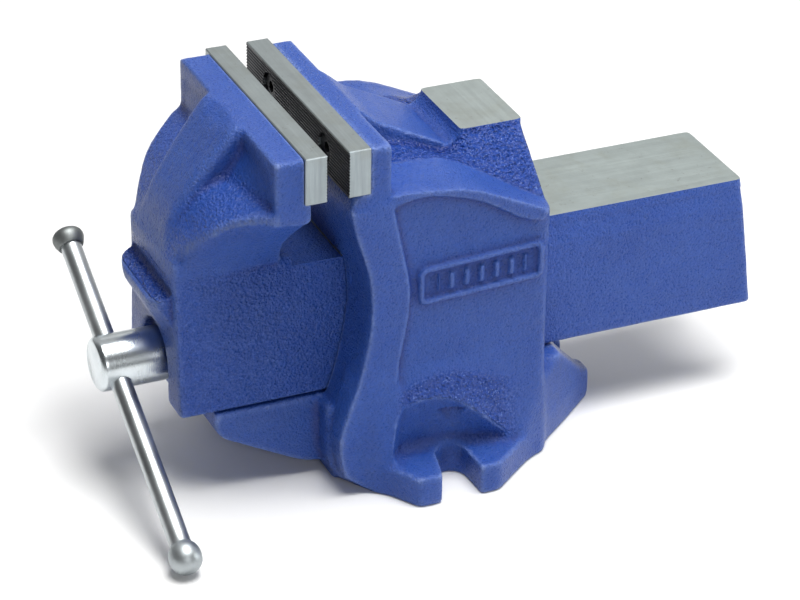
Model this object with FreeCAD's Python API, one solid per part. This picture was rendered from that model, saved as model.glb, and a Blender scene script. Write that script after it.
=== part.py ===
import FreeCAD, Part
import math, os
from FreeCAD import Vector as V

# Mechanic's bench vise, plain screw, fixed base.  Millimetres.
# Frame: X along the jaws, Y along the slide (operator and handle at -Y), +Z up.
# Origin: on the base's bottom plane, on the symmetry plane, level with the two
# side lug slots.

# ---------------------------------------------------------------- dimensions
TOP = 144.0            # height of the jaw tops above the bench
JAW_HALF = 50.0        # half of the 100 mm (4 in) jaw width
PLATE_H = 18.4         # jaw plate height
FIX_T = 8.8            # fixed jaw plate thickness
MOV_T = 8.5            # sliding jaw plate thickness
GAP = 7.9              # jaw gap as stored
Y_FIX = -40.0          # gripping face of the fixed jaw
Y_MOV = Y_FIX - GAP    # gripping face of the sliding jaw
OPEN_MAX = 100.0       # further travel of the sliding jaw from the stored pose
LEDGE_GAP = 0.2

SL_TOP = 86.7          # machined top of the slide
SL_BOT = 34.0          # lower edge of the slide
SL_X = ((28.0, SL_BOT), (24.7, 75.0), (22.1, SL_TOP))   # half section of slide
CH_X = ((20.5, SL_BOT - 1.0), (17.5, 70.0), (14.5, 77.5))  # its hollow
Y_BOSS = -97.0         # front face of the sliding jaw's boss
Y_WALL = -80.0         # back of the boss wall
Y_SL_TOP, Y_SL_BOT = 136.2, 141.0   # rear end of the slide
SL_CLR = 0.3           # clearance round the slide

SCREW_Z = 48.0         # main screw axis height
SCREW_R = 9.5          # main screw thread, outside radius
PITCH = 5.0            # one turn moves the jaw 5 mm
HEAD_R = 10.5
Y_HEAD = -120.2        # front end of the screw head
Y_SHOULDER = -92.8     # shoulder behind the head
Y_RECESS = -92.5       # floor of the recess that takes the shoulder
Y_SCREW_END = 118.0
BORE_R = 9.58          # bore in the boss and in the nut

BAR_R = 4.0
BAR_HOLE_R = 4.08
Y_BAR = -112.8
BAR_TILT = 28.65       # degrees, low end towards +X
BALL_C = 85.0          # forged ball centre from the screw axis
BALL_R = 6.5
CAP_IN = 52.3          # pressed cap, its two ends from the screw axis
CAP_OUT = 59.7
CAP_R = 6.3
SPIGOT_R = 3.0

BASE_T = 12.5          # lug thickness
LUG_X = 67.0           # outer face of a side lug
REAR_Y = 77.0          # outer face of the rear lug
SLOT_R = 5.9           # inner end of a lug slot
SLOT_X = 53.5          # centre of that end, side lugs
SLOT_Y = 1.0
SLOT_REAR_Y = 63.5     # centre of the rear slot's inner end
BODY_X = 48.0          # half width of the body
BODY_Y1 = 42.3         # rear face of the body
ANVIL_X = 18.15
ANVIL_Z = 128.1
ANVIL_Y0 = 19.0
FLOOR_Z = 33.7         # top of the floor under the slide
FLOOR_B = 21.5         # underside of that floor

PL_SCREW_X = 27.0      # jaw plate screws
PL_SCREW_Z = 135.3
PL_HEAD_R, PL_CB_R, PL_CB_D = 5.2, 5.5, 5.0
PL_SHANK_R = 3.0

NUT_X, NUT_Y0, NUT_Y1, NUT_Z1 = 15.0, -30.0, 18.0, 64.0
TEN_X, TEN_Y = 12.0, 14.0
BOLT_R = 5.0

os.makedirs("parts", exist_ok=True)
made = {}


# ---------------------------------------------------------------- helpers
def wire(pts):
    return Part.makePolygon([V(*p) for p in pts] + [V(*pts[0])])


def prism(pts, vec):
    return Part.Face(wire(pts)).extrude(V(*vec))


def p_xy(pts, z0, z1):
    return prism([(x, y, z0) for x, y in pts], (0, 0, z1 - z0))


def p_yz(pts, x0, x1):
    return prism([(x0, y, z) for y, z in pts], (x1 - x0, 0, 0))


def p_xz(pts, y0, y1):
    return prism([(x, y0, z) for x, z in pts], (0, y1 - y0, 0))


def box(x0, x1, y0, y1, z0, z1):
    return Part.makeBox(x1 - x0, y1 - y0, z1 - z0, V(x0, y0, z0))


def cyl(r, p, d, h):
    return Part.makeCylinder(r, h, V(*p), V(*d))


def sym(half):
    """closed polygon from its +X half, listed bottom to top"""
    return [(x, z) for x, z in half] + [(-x, z) for x, z in reversed(half)]


def loft(sections):
    return Part.makeLoft([wire(s) for s in sections], True, True)


def fuse(first, *rest):
    return first.fuse(list(rest)).removeSplitter()


def mirror(shape):
    return shape.mirror(V(0, 0, 0), V(1, 0, 0))


def solids(shape):
    return shape.Solids


def out(name, shape):
    s = shape.Solids
    if len(s) == 1:
        shape = s[0]
    else:
        shape = Part.Compound(s)
    bb = shape.BoundBox
    print("%-26s solids %d vol %9.1f  X %.1f %.1f  Y %.1f %.1f  Z %.1f %.1f %s" % (
        name, len(s), shape.Volume, bb.XMin, bb.XMax, bb.YMin, bb.YMax, bb.ZMin, bb.ZMax,
        "ok" if shape.isValid() else "INVALID"))
    made[name] = shape
    shape.exportStep("parts/%s.step" % name)


# ---------------------------------------------------------------- body casting
outline = [(38.6, -35.5), (64.8, -18.6), (LUG_X, -16.0), (LUG_X, 14.5), (65.4, 17.5),
           (59.6, 24.6), (29.8, 61.4), (17.4, 76.0), (15.0, REAR_Y)]
outline = outline + [(-x, y) for x, y in reversed(outline)]
base = p_xy(outline, 0.0, BASE_T)
# flared foot of each side wall, from the wall down to the plate's rim:
# y, height where the flare leaves the wall, fall per mm outwards
flare = []
for y, zw, sl in ((-34.0, 37.5, 5.0), (-24.0, 38.2, 4.5), (-20.3, 39.0, 2.4), (-15.0, 41.0, 1.8), (-5.0, 44.0, 1.7), (5.0, 44.0, 1.8),
                  (12.0, 41.8, 2.2), (18.0, 39.6, 2.9), (24.0, 37.2, 3.7), (30.0, 34.6, 4.1), (BODY_Y1 - 0.2, 29.6, 4.2)):
    zb = BASE_T - 1.0
    flare.append([(40.0, y, zb), (BODY_X - 0.4 + (zw - zb) / sl, y, zb), (BODY_X - 0.4, y, zw), (40.0, y, zw)])
inner = [(x, y) for x, y in outline]
rim = p_xy([(x * 0.995, y * 0.995) for x, y in inner], BASE_T - 0.8, 46.0)
flare_r = loft(flare).common(rim)
# sloping rear of the base behind the walls
rear_r = rim.common(p_yz([(30.0, 10.0), (79.0, 10.0), (79.0, 8.0), (54.5, 33.7), (30.0, 33.7)], -60.0, 60.0))
rear_r = rear_r.common(p_xz(sym([(66.0, 8.0), (59.0, 11.0), (36.4, 33.7)]), 20.0, 90.0))

front = [(-38.6, 119.0), (-36.2, 108.0), (-33.0, 97.5), (-30.6, 88.0), (-30.1, 78.0), (-30.7, 68.0),
         (-32.6, 58.0), (-35.7, 46.0), (-38.8, 38.0), (-42.7, 26.0), (-40.0, 11.0)]
main = p_yz(front + [(BODY_Y1, 11.0), (BODY_Y1, 104.0), (-22.5, 104.0), (-22.5, 123.0), (-38.6, 123.0)],
            -BODY_X, BODY_X)
flange_in = [(-22.1, 118.0), (-18.6, 102.0), (-15.6, 89.0), (-14.7, 83.0), (-15.7, 71.0), (-17.5, 60.5),
             (-18.7, 55.0), (-19.3, 46.0), (-17.1, 30.0), (-15.0, 14.0)]
fl = p_yz(front + list(reversed(flange_in)), 44.0, JAW_HALF)
# shoulders between the side walls and the anvil
sh = []
for y, zs, x2, z2, zt in ((-31.2, 124.0, 28.0, 125.0, 129.5), (-9.0, 122.3, 28.0, 124.2, 128.0),
                          (5.0, 120.0, 28.0, 122.6, 122.4), (15.0, 116.5, 31.5, 118.0, 117.0),
                          (19.0, 114.8, 33.5, 116.2, 127.9), (28.0, 110.8, 37.0, 112.5, 127.9),
                          (BODY_Y1, 104.4, 42.5, 106.0, 127.9)):
    half = [(BODY_X, 100.0), (BODY_X, zs), (x2, z2), (ANVIL_X, zt)]
    sh.append([(x, y, z) for x, z in sym(half)])
shoulder = loft(sh)
saddle = p_yz([(-31.2, 144.0), (-22.5, 144.0), (-15.2, 136.3), (-6.8, 133.1), (2.8, 127.6), (11.9, 122.6),
               (15.0, 123.4), (17.6, 126.1), (ANVIL_Y0, ANVIL_Z), (BODY_Y1, ANVIL_Z), (BODY_Y1, 100.0),
               (-31.2, 100.0)], -ANVIL_X, ANVIL_X)
seat_f = Y_FIX + FIX_T
ledge_z = TOP - PLATE_H - LEDGE_GAP
jaw_f = fuse(box(-49.5, 49.5, seat_f, -22.5, 118.0, TOP), box(-49.5, 49.5, -38.6, -30.0, 117.0, ledge_z))
jaw_f = jaw_f.cut(p_xz([(-50, TOP - 5), (-44.5, TOP + 0.1), (-50, TOP + 0.1)], -50, 0))
# floor under the slide: nose in front, plinth behind
NOSE_X = 29.2
nose = p_yz([(-83.6, FLOOR_Z), (-83.8, 28.5), (-82.6, 25.0), (-80.2, 22.4), (-70.1, 17.0), (-60.0, 11.7), (-51.3, 7.1), (-46.5, 5.4),
             (-41.5, 5.0), (-38.0, 2.6), (-35.4, 0.0), (-20.0, 0.0), (-20.0, FLOOR_Z)], -NOSE_X, NOSE_X)
heel = p_yz([(-42.8, FLOOR_Z), (-43.2, 30.0), (-42.6, 12.0), (-41.0, 6.0), (-35.6, 0.0), (-20.0, 0.0), (-20.0, FLOOR_Z)], -38.6, 38.6)
plinth = box(-36.0, 36.0, 30.0, 55.0, 9.0, FLOOR_Z)
body = fuse(base, flare_r, mirror(flare_r), rear_r, main, fl, mirror(fl), shoulder, saddle, jaw_f, nose, heel, plinth)
# raised arch ribs high on the side walls
arch = p_yz([(-18.5, 123.0), (-9.0, 123.0), (12.6, 117.5), (28.0, 110.5), (39.5, 105.5), (33.0, 102.0),
             (28.5, 103.4), (22.2, 108.0), (14.6, 112.4), (3.6, 117.0), (-8.6, 119.4), (-18.1, 118.7)], 46.0, 48.9)
# plain raised tablet with bars on each side wall
TAB_Y, TAB_Z, TAB_L, TAB_H, TAB_RISE = 14.0, 83.9, 25.3, 7.9, 0.05


def tab_box(y0, y1, z0, z1, x0, x1):
    """slightly rising oblong on the side wall, measured from the tablet's centre"""
    return p_yz([(TAB_Y + y, TAB_Z + z + TAB_RISE * y) for y, z in ((y0, z0), (y1, z0), (y1, z1), (y0, z1))], x0, x1)


tab = tab_box(-TAB_L, TAB_L, -TAB_H, TAB_H, 46.0, 49.6).cut(tab_box(-TAB_L + 2.2, TAB_L - 2.2, -TAB_H + 2.2, TAB_H - 2.2, 48.4, 51.0))
bars = [tab_box(-16.6 + 6.0 * i, -13.4 + 6.0 * i, -3.6, 3.6, 46.0, 49.6) for i in range(6)]
trim = [arch, tab] + bars
body = fuse(body, *(trim + [mirror(t) for t in trim]))
# rear vertical corners of the body
for s in (1, -1):
    body = body.cut(p_xy([(50.4 * s, 38.4), (50.4 * s, 43.4), (45.4 * s, 43.4)], 36.0, 107.0))
# underside of the overhanging flange feet, and the tunnel, slots and hollow
for s in (1, -1):
    n = V(0.341 * s, -0.569, -0.748)
    p0 = V(38.6 * s, -35.5, 0.0)
    c = Part.makeBox(160, 160, 60, V(-80, -80, 0))
    c.Placement = FreeCAD.Placement(p0, FreeCAD.Rotation(V(0, 0, 1), n))
    foot = box(36.0, 80.0, -60.0, -10.0, -1.0, 18.5) if s > 0 else box(-80.0, -36.0, -60.0, -10.0, -1.0, 18.5)
    body = body.cut(c.common(foot))
tun = [(SL_X[0][0] + SL_CLR, FLOOR_Z), (SL_X[1][0] + SL_CLR, 75.0), (SL_X[2][0] + SL_CLR, SL_TOP + SL_CLR)]
body = body.cut(p_xz(sym(tun), -60.0, 60.0))
for s in (1, -1):
    slot = fuse(cyl(SLOT_R, (SLOT_X * s, SLOT_Y, -1), (0, 0, 1), BASE_T + 3),
                p_xy([(SLOT_X * s, SLOT_Y - SLOT_R), (80 * s, -10.9), (80 * s, SLOT_Y + SLOT_R + 0.5), (SLOT_X * s, SLOT_Y + SLOT_R)],
                     -1, BASE_T + 2))
    body = body.cut(slot)
    # deep flat-floored pocket round the slot, for the bolt head and a spanner
    # its inner wall leans outwards over the floor
    plan = [(49.6, -20.6), (47.0, -17.5), (46.0, -13.5), (45.6, -9.0), (45.5, -4.0), (45.8, 1.0), (46.6, 6.0), (48.3, 12.2), (50.2, 17.4),
            (51.6, 22.0), (53.0, 27.0), (97.0, 52.0), (97.0, -62.0), (53.9, -23.4)]
    body = body.cut(prism([(x * s, y, BASE_T) for x, y in plan], (8.4 * s, 0, 30.0)))
rs = fuse(cyl(SLOT_R, (0, SLOT_REAR_Y, -1), (0, 0, 1), 30),
          p_xy([(-SLOT_R, SLOT_REAR_Y), (SLOT_R, SLOT_REAR_Y), (8.2, 80.0), (-8.2, 80.0)], -1, 29))
body = body.cut(rs)
body = body.cut(cyl(12.0, (0, SLOT_REAR_Y + 1.5, BASE_T), (0, 0, 1), 20).cut(box(-40, 40, 30, 55.01, 0, 40)))
body = body.cut(box(-33.0, 33.0, -24.0, 33.0, -1.0, FLOOR_B))
body = body.cut(box(-TEN_X - 0.1, TEN_X + 0.1, -TEN_Y - 0.1, TEN_Y + 0.1, 0.0, 40.0))
for x in (-PL_SCREW_X, PL_SCREW_X):
    body = body.cut(cyl(PL_SHANK_R + 0.05, (x, seat_f - 0.01, PL_SCREW_Z), (0, 1, 0), 7.2))
out("body_casting", body)

# ---------------------------------------------------------------- sliding jaw casting
slide = p_xz(sym(SL_X), Y_BOSS, 146.0)
slide = slide.cut(p_yz([(Y_SL_TOP, SL_TOP), (Y_SL_BOT, SL_BOT), (Y_SL_BOT, 30.0), (150.0, 30.0), (150.0, 90.0), (Y_SL_TOP, 90.0)], -40, 40))


# wings: y, half width, lower and upper edge of the rim, rise of the top towards the spine
wings = [(-56.4, 49.3, 118.2, 123.5, 1.8), (-67.5, 49.1, 119.1, 123.4, 1.8), (-72.0, 45.9, 118.8, 122.8, 2.3), (-76.0, 42.3, 117.5, 121.4, 2.5),
         (-80.0, 39.1, 115.7, 119.3, 2.8), (-84.0, 36.5, 112.8, 116.6, 3.0), (-88.0, 32.7, 108.4, 112.7, 2.6), (-92.0, 27.1, 103.0, 107.6, 1.6),
         (-94.5, 23.2, 98.8, 103.3, 1.1), (-97.0, 20.6, 93.2, 97.6, 0.6)]
secs = []
for y, xr, zl, zu, rise in wings:
    half = [(min(24.5, xr - 0.8), 84.0), (min(24.5, xr - 0.4), 91.5), (xr - 0.3, zl), (xr, zl + 0.8), (xr, zu), (15.0, zu + rise)]
    secs.append([(x, y, z) for x, z in sym(half)])
wing = loft(secs)
# spine down the middle: height, front face, half width
spine = []
for z, yf, hw in ((84.0, -97.0, 22.4), (91.0, -97.0, 22.0), (96.5, -96.8, 19.8), (101.5, -96.2, 16.6), (106.5, -95.2, 14.4), (111.0, -93.7, 14.0),
                  (115.0, -91.6, 14.2), (119.0, -89.0, 14.6), (124.6, -85.0, 15.3), (130.3, -80.7, 16.0), (136.0, -76.3, 16.7),
                  (141.2, -72.0, 17.3), (143.7, -68.6, 17.4)):
    spine.append([(-hw, -56.4, z), (-hw, yf, z), (hw, yf, z), (hw, -56.4, z)])
spine = loft(spine)
# web filling the corner between the jaw block, the spine and the wing
web = Part.makeLoft([wire([(x, -66.5, zt), (x, -66.5, 117.5), (x, yv, 117.5), (x, yv, zv), (x, ym, zm)]) for x, zt, yv, zv, ym, zm in (
    (14.0, 138.0, -74.6, 124.6, -69.8, 131.0), (24.0, 138.0, -73.0, 124.4, -69.2, 131.0), (34.0, 138.0, -70.6, 124.0, -68.2, 131.0),
    (44.0, 137.0, -67.8, 123.4, -67.2, 130.0))], True, True)
neck = p_yz([(-97.0, 80.0), (-50.5, 80.0), (-50.5, 86.7), (-53.0, 88.0), (-55.2, 91.0), (-56.6, 95.5), (-56.4, 101.0), (-54.6, 108.0),
             (-54.6, 110.0), (-97.0, 97.0)], -22.1, 22.1)
seat_m = Y_MOV - MOV_T
jaw_m = fuse(box(-49.3, 49.3, -67.0, seat_m, 118.0, TOP), box(-49.3, 49.3, -60.0, -53.2, 117.6, ledge_z))
jaw_m = jaw_m.cut(p_xz([(-50, TOP - 5), (-44.5, TOP + 0.1), (-50, TOP + 0.1)], -70, -40))
under = loft([[(x, y, z) for x, z in sym([(22.1, 96.0), (49.3, 118.2), (49.3, 119.5)])] for y in (-56.6, -54.0)])
lip = p_yz([(-90.0, 84.5), (-101.5, 84.0), (-103.0, 81.5), (-103.0, 77.5), (-101.0, 75.0), (-90.0, 73.0)], -20.0, 20.0)
mov = fuse(slide, wing, spine, web, mirror(web), neck, jaw_m, under, lip)
# hollow of the slide, screw bore, front recess
mov = mov.cut(p_xz(sym(CH_X), Y_WALL, 150.0))
mov = mov.cut(cyl(BORE_R, (0, -110, SCREW_Z), (0, 1, 0), 40))
rec = fuse(cyl(13.5, (0, -104.0, SCREW_Z), (0, 1, 0), 104.0 + Y_RECESS), box(-13.5, 13.5, -104.0, Y_RECESS, 20.0, SCREW_Z))
mov = mov.cut(rec)
for x in (-PL_SCREW_X, PL_SCREW_X):
    mov = mov.cut(cyl(PL_SHANK_R + 0.05, (x, seat_m + 0.01, PL_SCREW_Z), (0, -1, 0), 8.5))
out("sliding_jaw_casting", mov)


# ---------------------------------------------------------------- jaw plates and their screws
def plate(y0, y1, face_y, inward):
    p = box(-JAW_HALF, JAW_HALF, y0, y1, TOP - PLATE_H, TOP)
    # grooves across the gripping face
    n = 11
    for i in range(n):
        z = TOP - 1.7 - i * 1.5
        g = p_yz([(face_y, z + 0.45), (face_y - 0.6 * inward, z), (face_y, z - 0.45), (face_y + 0.5 * inward, z - 0.5), (face_y + 0.5 * inward, z + 0.5)],
                 -JAW_HALF - 1, JAW_HALF + 1)
        p = p.cut(g)
    for x in (-PL_SCREW_X, PL_SCREW_X):
        p = p.cut(cyl(PL_CB_R, (x, face_y + inward, PL_SCREW_Z), (0, -inward, 0), PL_CB_D + 1.0))
        p = p.cut(cyl(PL_SHANK_R + 0.3, (x, face_y + inward, PL_SCREW_Z), (0, -inward, 0), 20.0))
    return p


def hexprism(af, p, d, h):
    r = af / math.sqrt(3.0)
    pts = [V(r * math.cos(math.radians(60 * i + 30)), r * math.sin(math.radians(60 * i + 30)), 0) for i in range(6)]
    f = Part.Face(Part.makePolygon(pts + [pts[0]])).extrude(V(0, 0, h))
    f.Placement = FreeCAD.Placement(V(*p), FreeCAD.Rotation(V(0, 0, 1), V(*d)))
    return f


def plate_screw(x, face_y, inward, reach):
    hy = face_y - inward * PL_CB_D          # floor of the counterbore
    head = cyl(PL_HEAD_R, (x, hy, PL_SCREW_Z), (0, inward, 0), 4.0)
    head = head.cut(hexprism(4.0, (x, hy + inward * 4.5, PL_SCREW_Z), (0, -inward, 0), 2.8))
    shank = cyl(PL_SHANK_R, (x, hy + 0.01 * inward, PL_SCREW_Z), (0, -inward, 0), reach)
    return fuse(head, shank)


out("fixed_jaw_plate", plate(Y_FIX, Y_FIX + FIX_T, Y_FIX, -1))
out("sliding_jaw_plate", plate(Y_MOV - MOV_T, Y_MOV, Y_MOV, 1))
out("fixed_jaw_plate_screws", Part.Compound([plate_screw(x, Y_FIX, -1, FIX_T - PL_CB_D + 6.5) for x in (-PL_SCREW_X, PL_SCREW_X)]))
out("sliding_jaw_plate_screws", Part.Compound([plate_screw(x, Y_MOV, 1, MOV_T - PL_CB_D + 7.8) for x in (-PL_SCREW_X, PL_SCREW_X)]))

# ---------------------------------------------------------------- main screw and what it carries
t = math.radians(BAR_TILT)
u = (math.cos(t), 0.0, -math.sin(t))          # towards the low end of the bar
head = cyl(HEAD_R, (0, Y_HEAD, SCREW_Z), (0, 1, 0), Y_SHOULDER - Y_HEAD)
head = head.makeChamfer(1.2, [e for e in head.Edges if len(e.Vertexes) == 1 and abs(e.CenterOfMass.y - Y_HEAD) < 1e-6])
shank = cyl(SCREW_R, (0, Y_SHOULDER - 1, SCREW_Z), (0, 1, 0), Y_SCREW_END - Y_SHOULDER + 1)
shank = shank.makeChamfer(1.5, [e for e in shank.Edges if len(e.Vertexes) == 1 and abs(e.CenterOfMass.y - Y_SCREW_END) < 1e-6])
screw = fuse(head, shank)
screw = screw.cut(cyl(BAR_HOLE_R, (-30 * u[0], Y_BAR, SCREW_Z - 30 * u[2]), u, 60))
COL_Y0, COL_Y1 = -64.0, -52.0
PIN_Y, PIN_R = -58.0, 2.0
COL_R, WASH_R = 13.2, 13.2
screw = screw.cut(cyl(PIN_R, (0, PIN_Y, SCREW_Z - 20), (0, 0, 1), 40))
out("main_screw", screw)


def ring(r0, r1, y0, y1):
    return cyl(r1, (0, y0, SCREW_Z), (0, 1, 0), y1 - y0).cut(cyl(r0, (0, y0 - 1, SCREW_Z), (0, 1, 0), y1 - y0 + 2))


out("thrust_washer", ring(SCREW_R + 0.05, WASH_R, -79.7, -77.7))
# take-up spring: flat-ended coil between the two washers
WIRE_R, COIL_R, TURNS = 1.2, 11.3, 3.5
sp_y0, sp_y1 = -77.7, -66.0
sp_rise = sp_y1 - sp_y0 - 2 * WIRE_R
STEPS = 24                      # straight lengths of wire per turn


def coil_ring(i):
    a = 2 * math.pi * i / STEPS
    p = V(COIL_R * math.sin(a), sp_y0 + WIRE_R + sp_rise * i / (STEPS * TURNS), SCREW_Z + COIL_R * math.cos(a))
    t = V(math.cos(a) * COIL_R * 2 * math.pi, sp_rise / TURNS, -math.sin(a) * COIL_R * 2 * math.pi)
    out_dir = V(math.sin(a), 0, math.cos(a))
    side = t.cross(out_dir)
    side.normalize()
    pts = [p + out_dir * (WIRE_R * math.cos(2 * math.pi * k / 10)) + side * (WIRE_R * math.sin(2 * math.pi * k / 10)) for k in range(10)]
    return pts


rings = [coil_ring(i) for i in range(int(STEPS * TURNS) + 1)]
faces = []
for r0, r1 in zip(rings[:-1], rings[1:]):
    for k in range(10):
        a, b, c, d = r0[k], r0[(k + 1) % 10], r1[(k + 1) % 10], r1[k]
        faces.append(Part.Face(Part.makePolygon([a, b, c, a])))
        faces.append(Part.Face(Part.makePolygon([a, c, d, a])))
faces.append(Part.Face(Part.makePolygon(rings[0] + [rings[0][0]])))
faces.append(Part.Face(Part.makePolygon(rings[-1] + [rings[-1][0]])))
coil = Part.Solid(Part.makeShell(faces))
if coil.Volume < 0:
    coil.reverse()
out("take_up_spring", coil)
out("spring_seat_washer", ring(SCREW_R + 0.05, WASH_R, -66.0, COL_Y0))
collar = ring(SCREW_R + 0.02, COL_R, COL_Y0, COL_Y1).cut(cyl(PIN_R, (0, PIN_Y, SCREW_Z - 20), (0, 0, 1), 40))
out("retaining_collar", collar)
pin = cyl(PIN_R, (0, PIN_Y, SCREW_Z - 12.8), (0, 0, 1), 25.6)
pin = pin.cut(cyl(0.9, (0, PIN_Y, SCREW_Z - 20), (0, 0, 1), 40))
pin = pin.cut(box(0, 5, PIN_Y - 0.35, PIN_Y + 0.35, SCREW_Z - 20, SCREW_Z + 20))
out("collar_roll_pin", pin)

# ---------------------------------------------------------------- tommy bar
def along(s):
    return (s * u[0], Y_BAR, SCREW_Z + s * u[2])


bar = cyl(BAR_R, along(-CAP_IN), u, BALL_C + CAP_IN)
spig = cyl(SPIGOT_R, along(-CAP_OUT + 1.6), u, CAP_OUT - CAP_IN)
# forged end: neck, ball with a small flat
prof = [(BALL_C - 9.5, 0.0), (BALL_C - 9.5, BAR_R), (BALL_C - 5.4, BAR_R), (BALL_C - 4.6, 4.6), (BALL_C - 3.4, 5.5),
        (BALL_C - 1.8, 6.2), (BALL_C, BALL_R - 0.05), (BALL_C + 1.8, 6.25), (BALL_C + 3.6, 5.4), (BALL_C + 5.2, 4.1),
        (BALL_C + 5.9, 2.8), (BALL_C + 5.9, 0.0)]


def revolve(prof):
    # axis along u through the bar's centre line; radius measured along Y
    pts = [V(s * u[0], Y_BAR + r, SCREW_Z + s * u[2]) for s, r in prof]
    f = Part.Face(Part.makePolygon(pts + [pts[0]]))
    return f.revolve(V(*along(0)), V(*u), 360)


out("handle_bar", fuse(bar, spig, revolve(prof)))
cap = revolve([(-CAP_IN, 0), (-CAP_IN, CAP_R - 0.6), (-CAP_IN - 0.6, CAP_R), (-CAP_OUT + 3.4, CAP_R), (-CAP_OUT + 2.0, CAP_R - 0.6),
               (-CAP_OUT + 0.8, CAP_R - 1.8), (-CAP_OUT, CAP_R - 3.6), (-CAP_OUT, 0)])
cap = cap.cut(cyl(SPIGOT_R, along(-CAP_OUT + 1.6), u, CAP_OUT))
out("handle_end_cap", cap)

# ---------------------------------------------------------------- main nut, its bolt and washer
nut = fuse(p_xz([(-NUT_X, FLOOR_Z), (NUT_X, FLOOR_Z), (NUT_X, 56.0), (9.0, NUT_Z1), (-9.0, NUT_Z1), (-NUT_X, 56.0)], NUT_Y0, NUT_Y1),
           box(-TEN_X, TEN_X, -TEN_Y, TEN_Y, FLOOR_B + 0.3, FLOOR_Z + 1.0))
nut = nut.cut(cyl(BORE_R, (0, NUT_Y0 - 1, SCREW_Z), (0, 1, 0), 80))
nut = nut.cut(cyl(BOLT_R, (0, 0, 10), (0, 0, 1), 26.5))
out("main_nut", nut)
out("nut_bolt_washer", cyl(20.0, (0, 0, 18.5), (0, 0, 1), FLOOR_B - 18.5).cut(cyl(BOLT_R + 0.3, (0, 0, 10), (0, 0, 1), 20)))
bolt = fuse(hexprism(17.0, (0, 0, 12.0), (0, 0, 1), 6.5), cyl(BOLT_R, (0, 0, 18.4), (0, 0, 1), 17.4))
out("nut_bolt", bolt)

# ---------------------------------------------------------------- fits
names = sorted(made)
for i, a in enumerate(names):
    for b in names[i + 1:]:
        if made[a].BoundBox.intersect(made[b].BoundBox):
            v = made[a].common(made[b]).Volume
            if v > 0.01:
                print("overlap %-24s %-24s %.3f mm3" % (a, b, v))
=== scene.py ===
import bpy
import bmesh
import math
import numpy as np
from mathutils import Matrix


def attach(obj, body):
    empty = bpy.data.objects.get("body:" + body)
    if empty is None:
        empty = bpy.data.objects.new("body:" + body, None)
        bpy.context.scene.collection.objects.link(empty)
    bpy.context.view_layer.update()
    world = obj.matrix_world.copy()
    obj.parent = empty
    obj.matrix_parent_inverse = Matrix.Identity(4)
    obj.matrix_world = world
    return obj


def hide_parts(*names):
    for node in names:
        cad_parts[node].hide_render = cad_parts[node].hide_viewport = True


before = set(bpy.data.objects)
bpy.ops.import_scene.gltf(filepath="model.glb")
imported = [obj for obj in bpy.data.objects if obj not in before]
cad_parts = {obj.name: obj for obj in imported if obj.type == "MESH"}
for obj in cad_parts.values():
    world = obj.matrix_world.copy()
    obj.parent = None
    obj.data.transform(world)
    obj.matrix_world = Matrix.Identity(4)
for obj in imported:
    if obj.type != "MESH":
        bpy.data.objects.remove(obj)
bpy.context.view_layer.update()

import openvdb
from mathutils import Matrix, Vector

MM = 0.001
VOX = 0.75       # mm, grid step of the two castings
scene = bpy.context.scene

# ------------------------------------------------------------------ dimensions, mm
TOP = 144.0
PLATE_H = 18.4
Y_FIX, FIX_T = -40.0, 8.8
Y_MOV, MOV_T = -47.9, 8.5
SL_TOP, SL_BOT = 86.7, 34.0
SCREW_Z, SCREW_R, PITCH, HEAD_R = 48.0, 9.5, 5.0, 10.5
Y_HEAD, Y_SHOULDER, Y_SCREW_END = -120.2, -92.8, 118.0
Y_BAR, BAR_TILT, BAR_R = -112.8, 28.65, 4.0
BALL_C, CAP_C, CAP_L, CAP_R = 85.0, 55.0, 9.6, 6.3
ANVIL_Z = 128.1
PL_SCREW_X, PL_SCREW_Z = 27.0, 135.3


# ------------------------------------------------------------------ signed distance modelling
def poly2(u, v, pts):
    """signed distance to a closed polygon, negative inside"""
    u, v = np.broadcast_arrays(np.asarray(u, np.float32), np.asarray(v, np.float32))
    best = np.full(u.shape, 1e9, np.float32)
    inside = np.zeros(u.shape, bool)
    n = len(pts)
    for i in range(n):
        ax, ay = pts[i]
        bx, by = pts[(i + 1) % n]
        ex, ey = bx - ax, by - ay
        wx, wy = u - ax, v - ay
        t = np.clip((wx * ex + wy * ey) / max(ex * ex + ey * ey, 1e-9), 0, 1)
        dx, dy = wx - t * ex, wy - t * ey
        best = np.minimum(best, dx * dx + dy * dy)
        if ey != 0:
            c = ((ay > v) != (by > v)) & (u < ex * (v - ay) / ey + ax)
            inside ^= c
    d = np.sqrt(best)
    return np.where(inside, -d, d).astype(np.float32)


def ext(a, b, r=0.0):
    """intersection of two fields with outer edges rounded to r and true distance outside"""
    a, b = a + r, b + r
    return np.minimum(np.maximum(a, b), 0) + np.sqrt(np.maximum(a, 0) ** 2 + np.maximum(b, 0) ** 2) - r


def slab(v, lo, hi):
    return np.maximum(lo - v, v - hi)


def u_round(a, b, r):
    return np.maximum(r, np.minimum(a, b)) - np.sqrt(np.maximum(r - a, 0) ** 2 + np.maximum(r - b, 0) ** 2)


def i_round(a, b, r):
    return np.minimum(-r, np.maximum(a, b)) + np.sqrt(np.maximum(r + a, 0) ** 2 + np.maximum(r + b, 0) ** 2)


def blur(f, n):
    for _ in range(n):
        for ax in range(3):
            g = np.moveaxis(f, ax, 0)
            h = g.copy()
            h[1:-1] = 0.25 * g[:-2] + 0.5 * g[1:-1] + 0.25 * g[2:]
            f = np.moveaxis(h, 0, ax)
    return np.ascontiguousarray(f)


def axes(x1, y0, y1, z0, z1):
    """half grid, x from 0; the other half is its mirror image"""
    x = np.arange(0, x1 + VOX, VOX, dtype=np.float32)[:, None, None]
    y = np.arange(y0, y1 + VOX, VOX, dtype=np.float32)[None, :, None]
    z = np.arange(z0, z1 + VOX, VOX, dtype=np.float32)[None, None, :]
    return x, y, z


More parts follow.
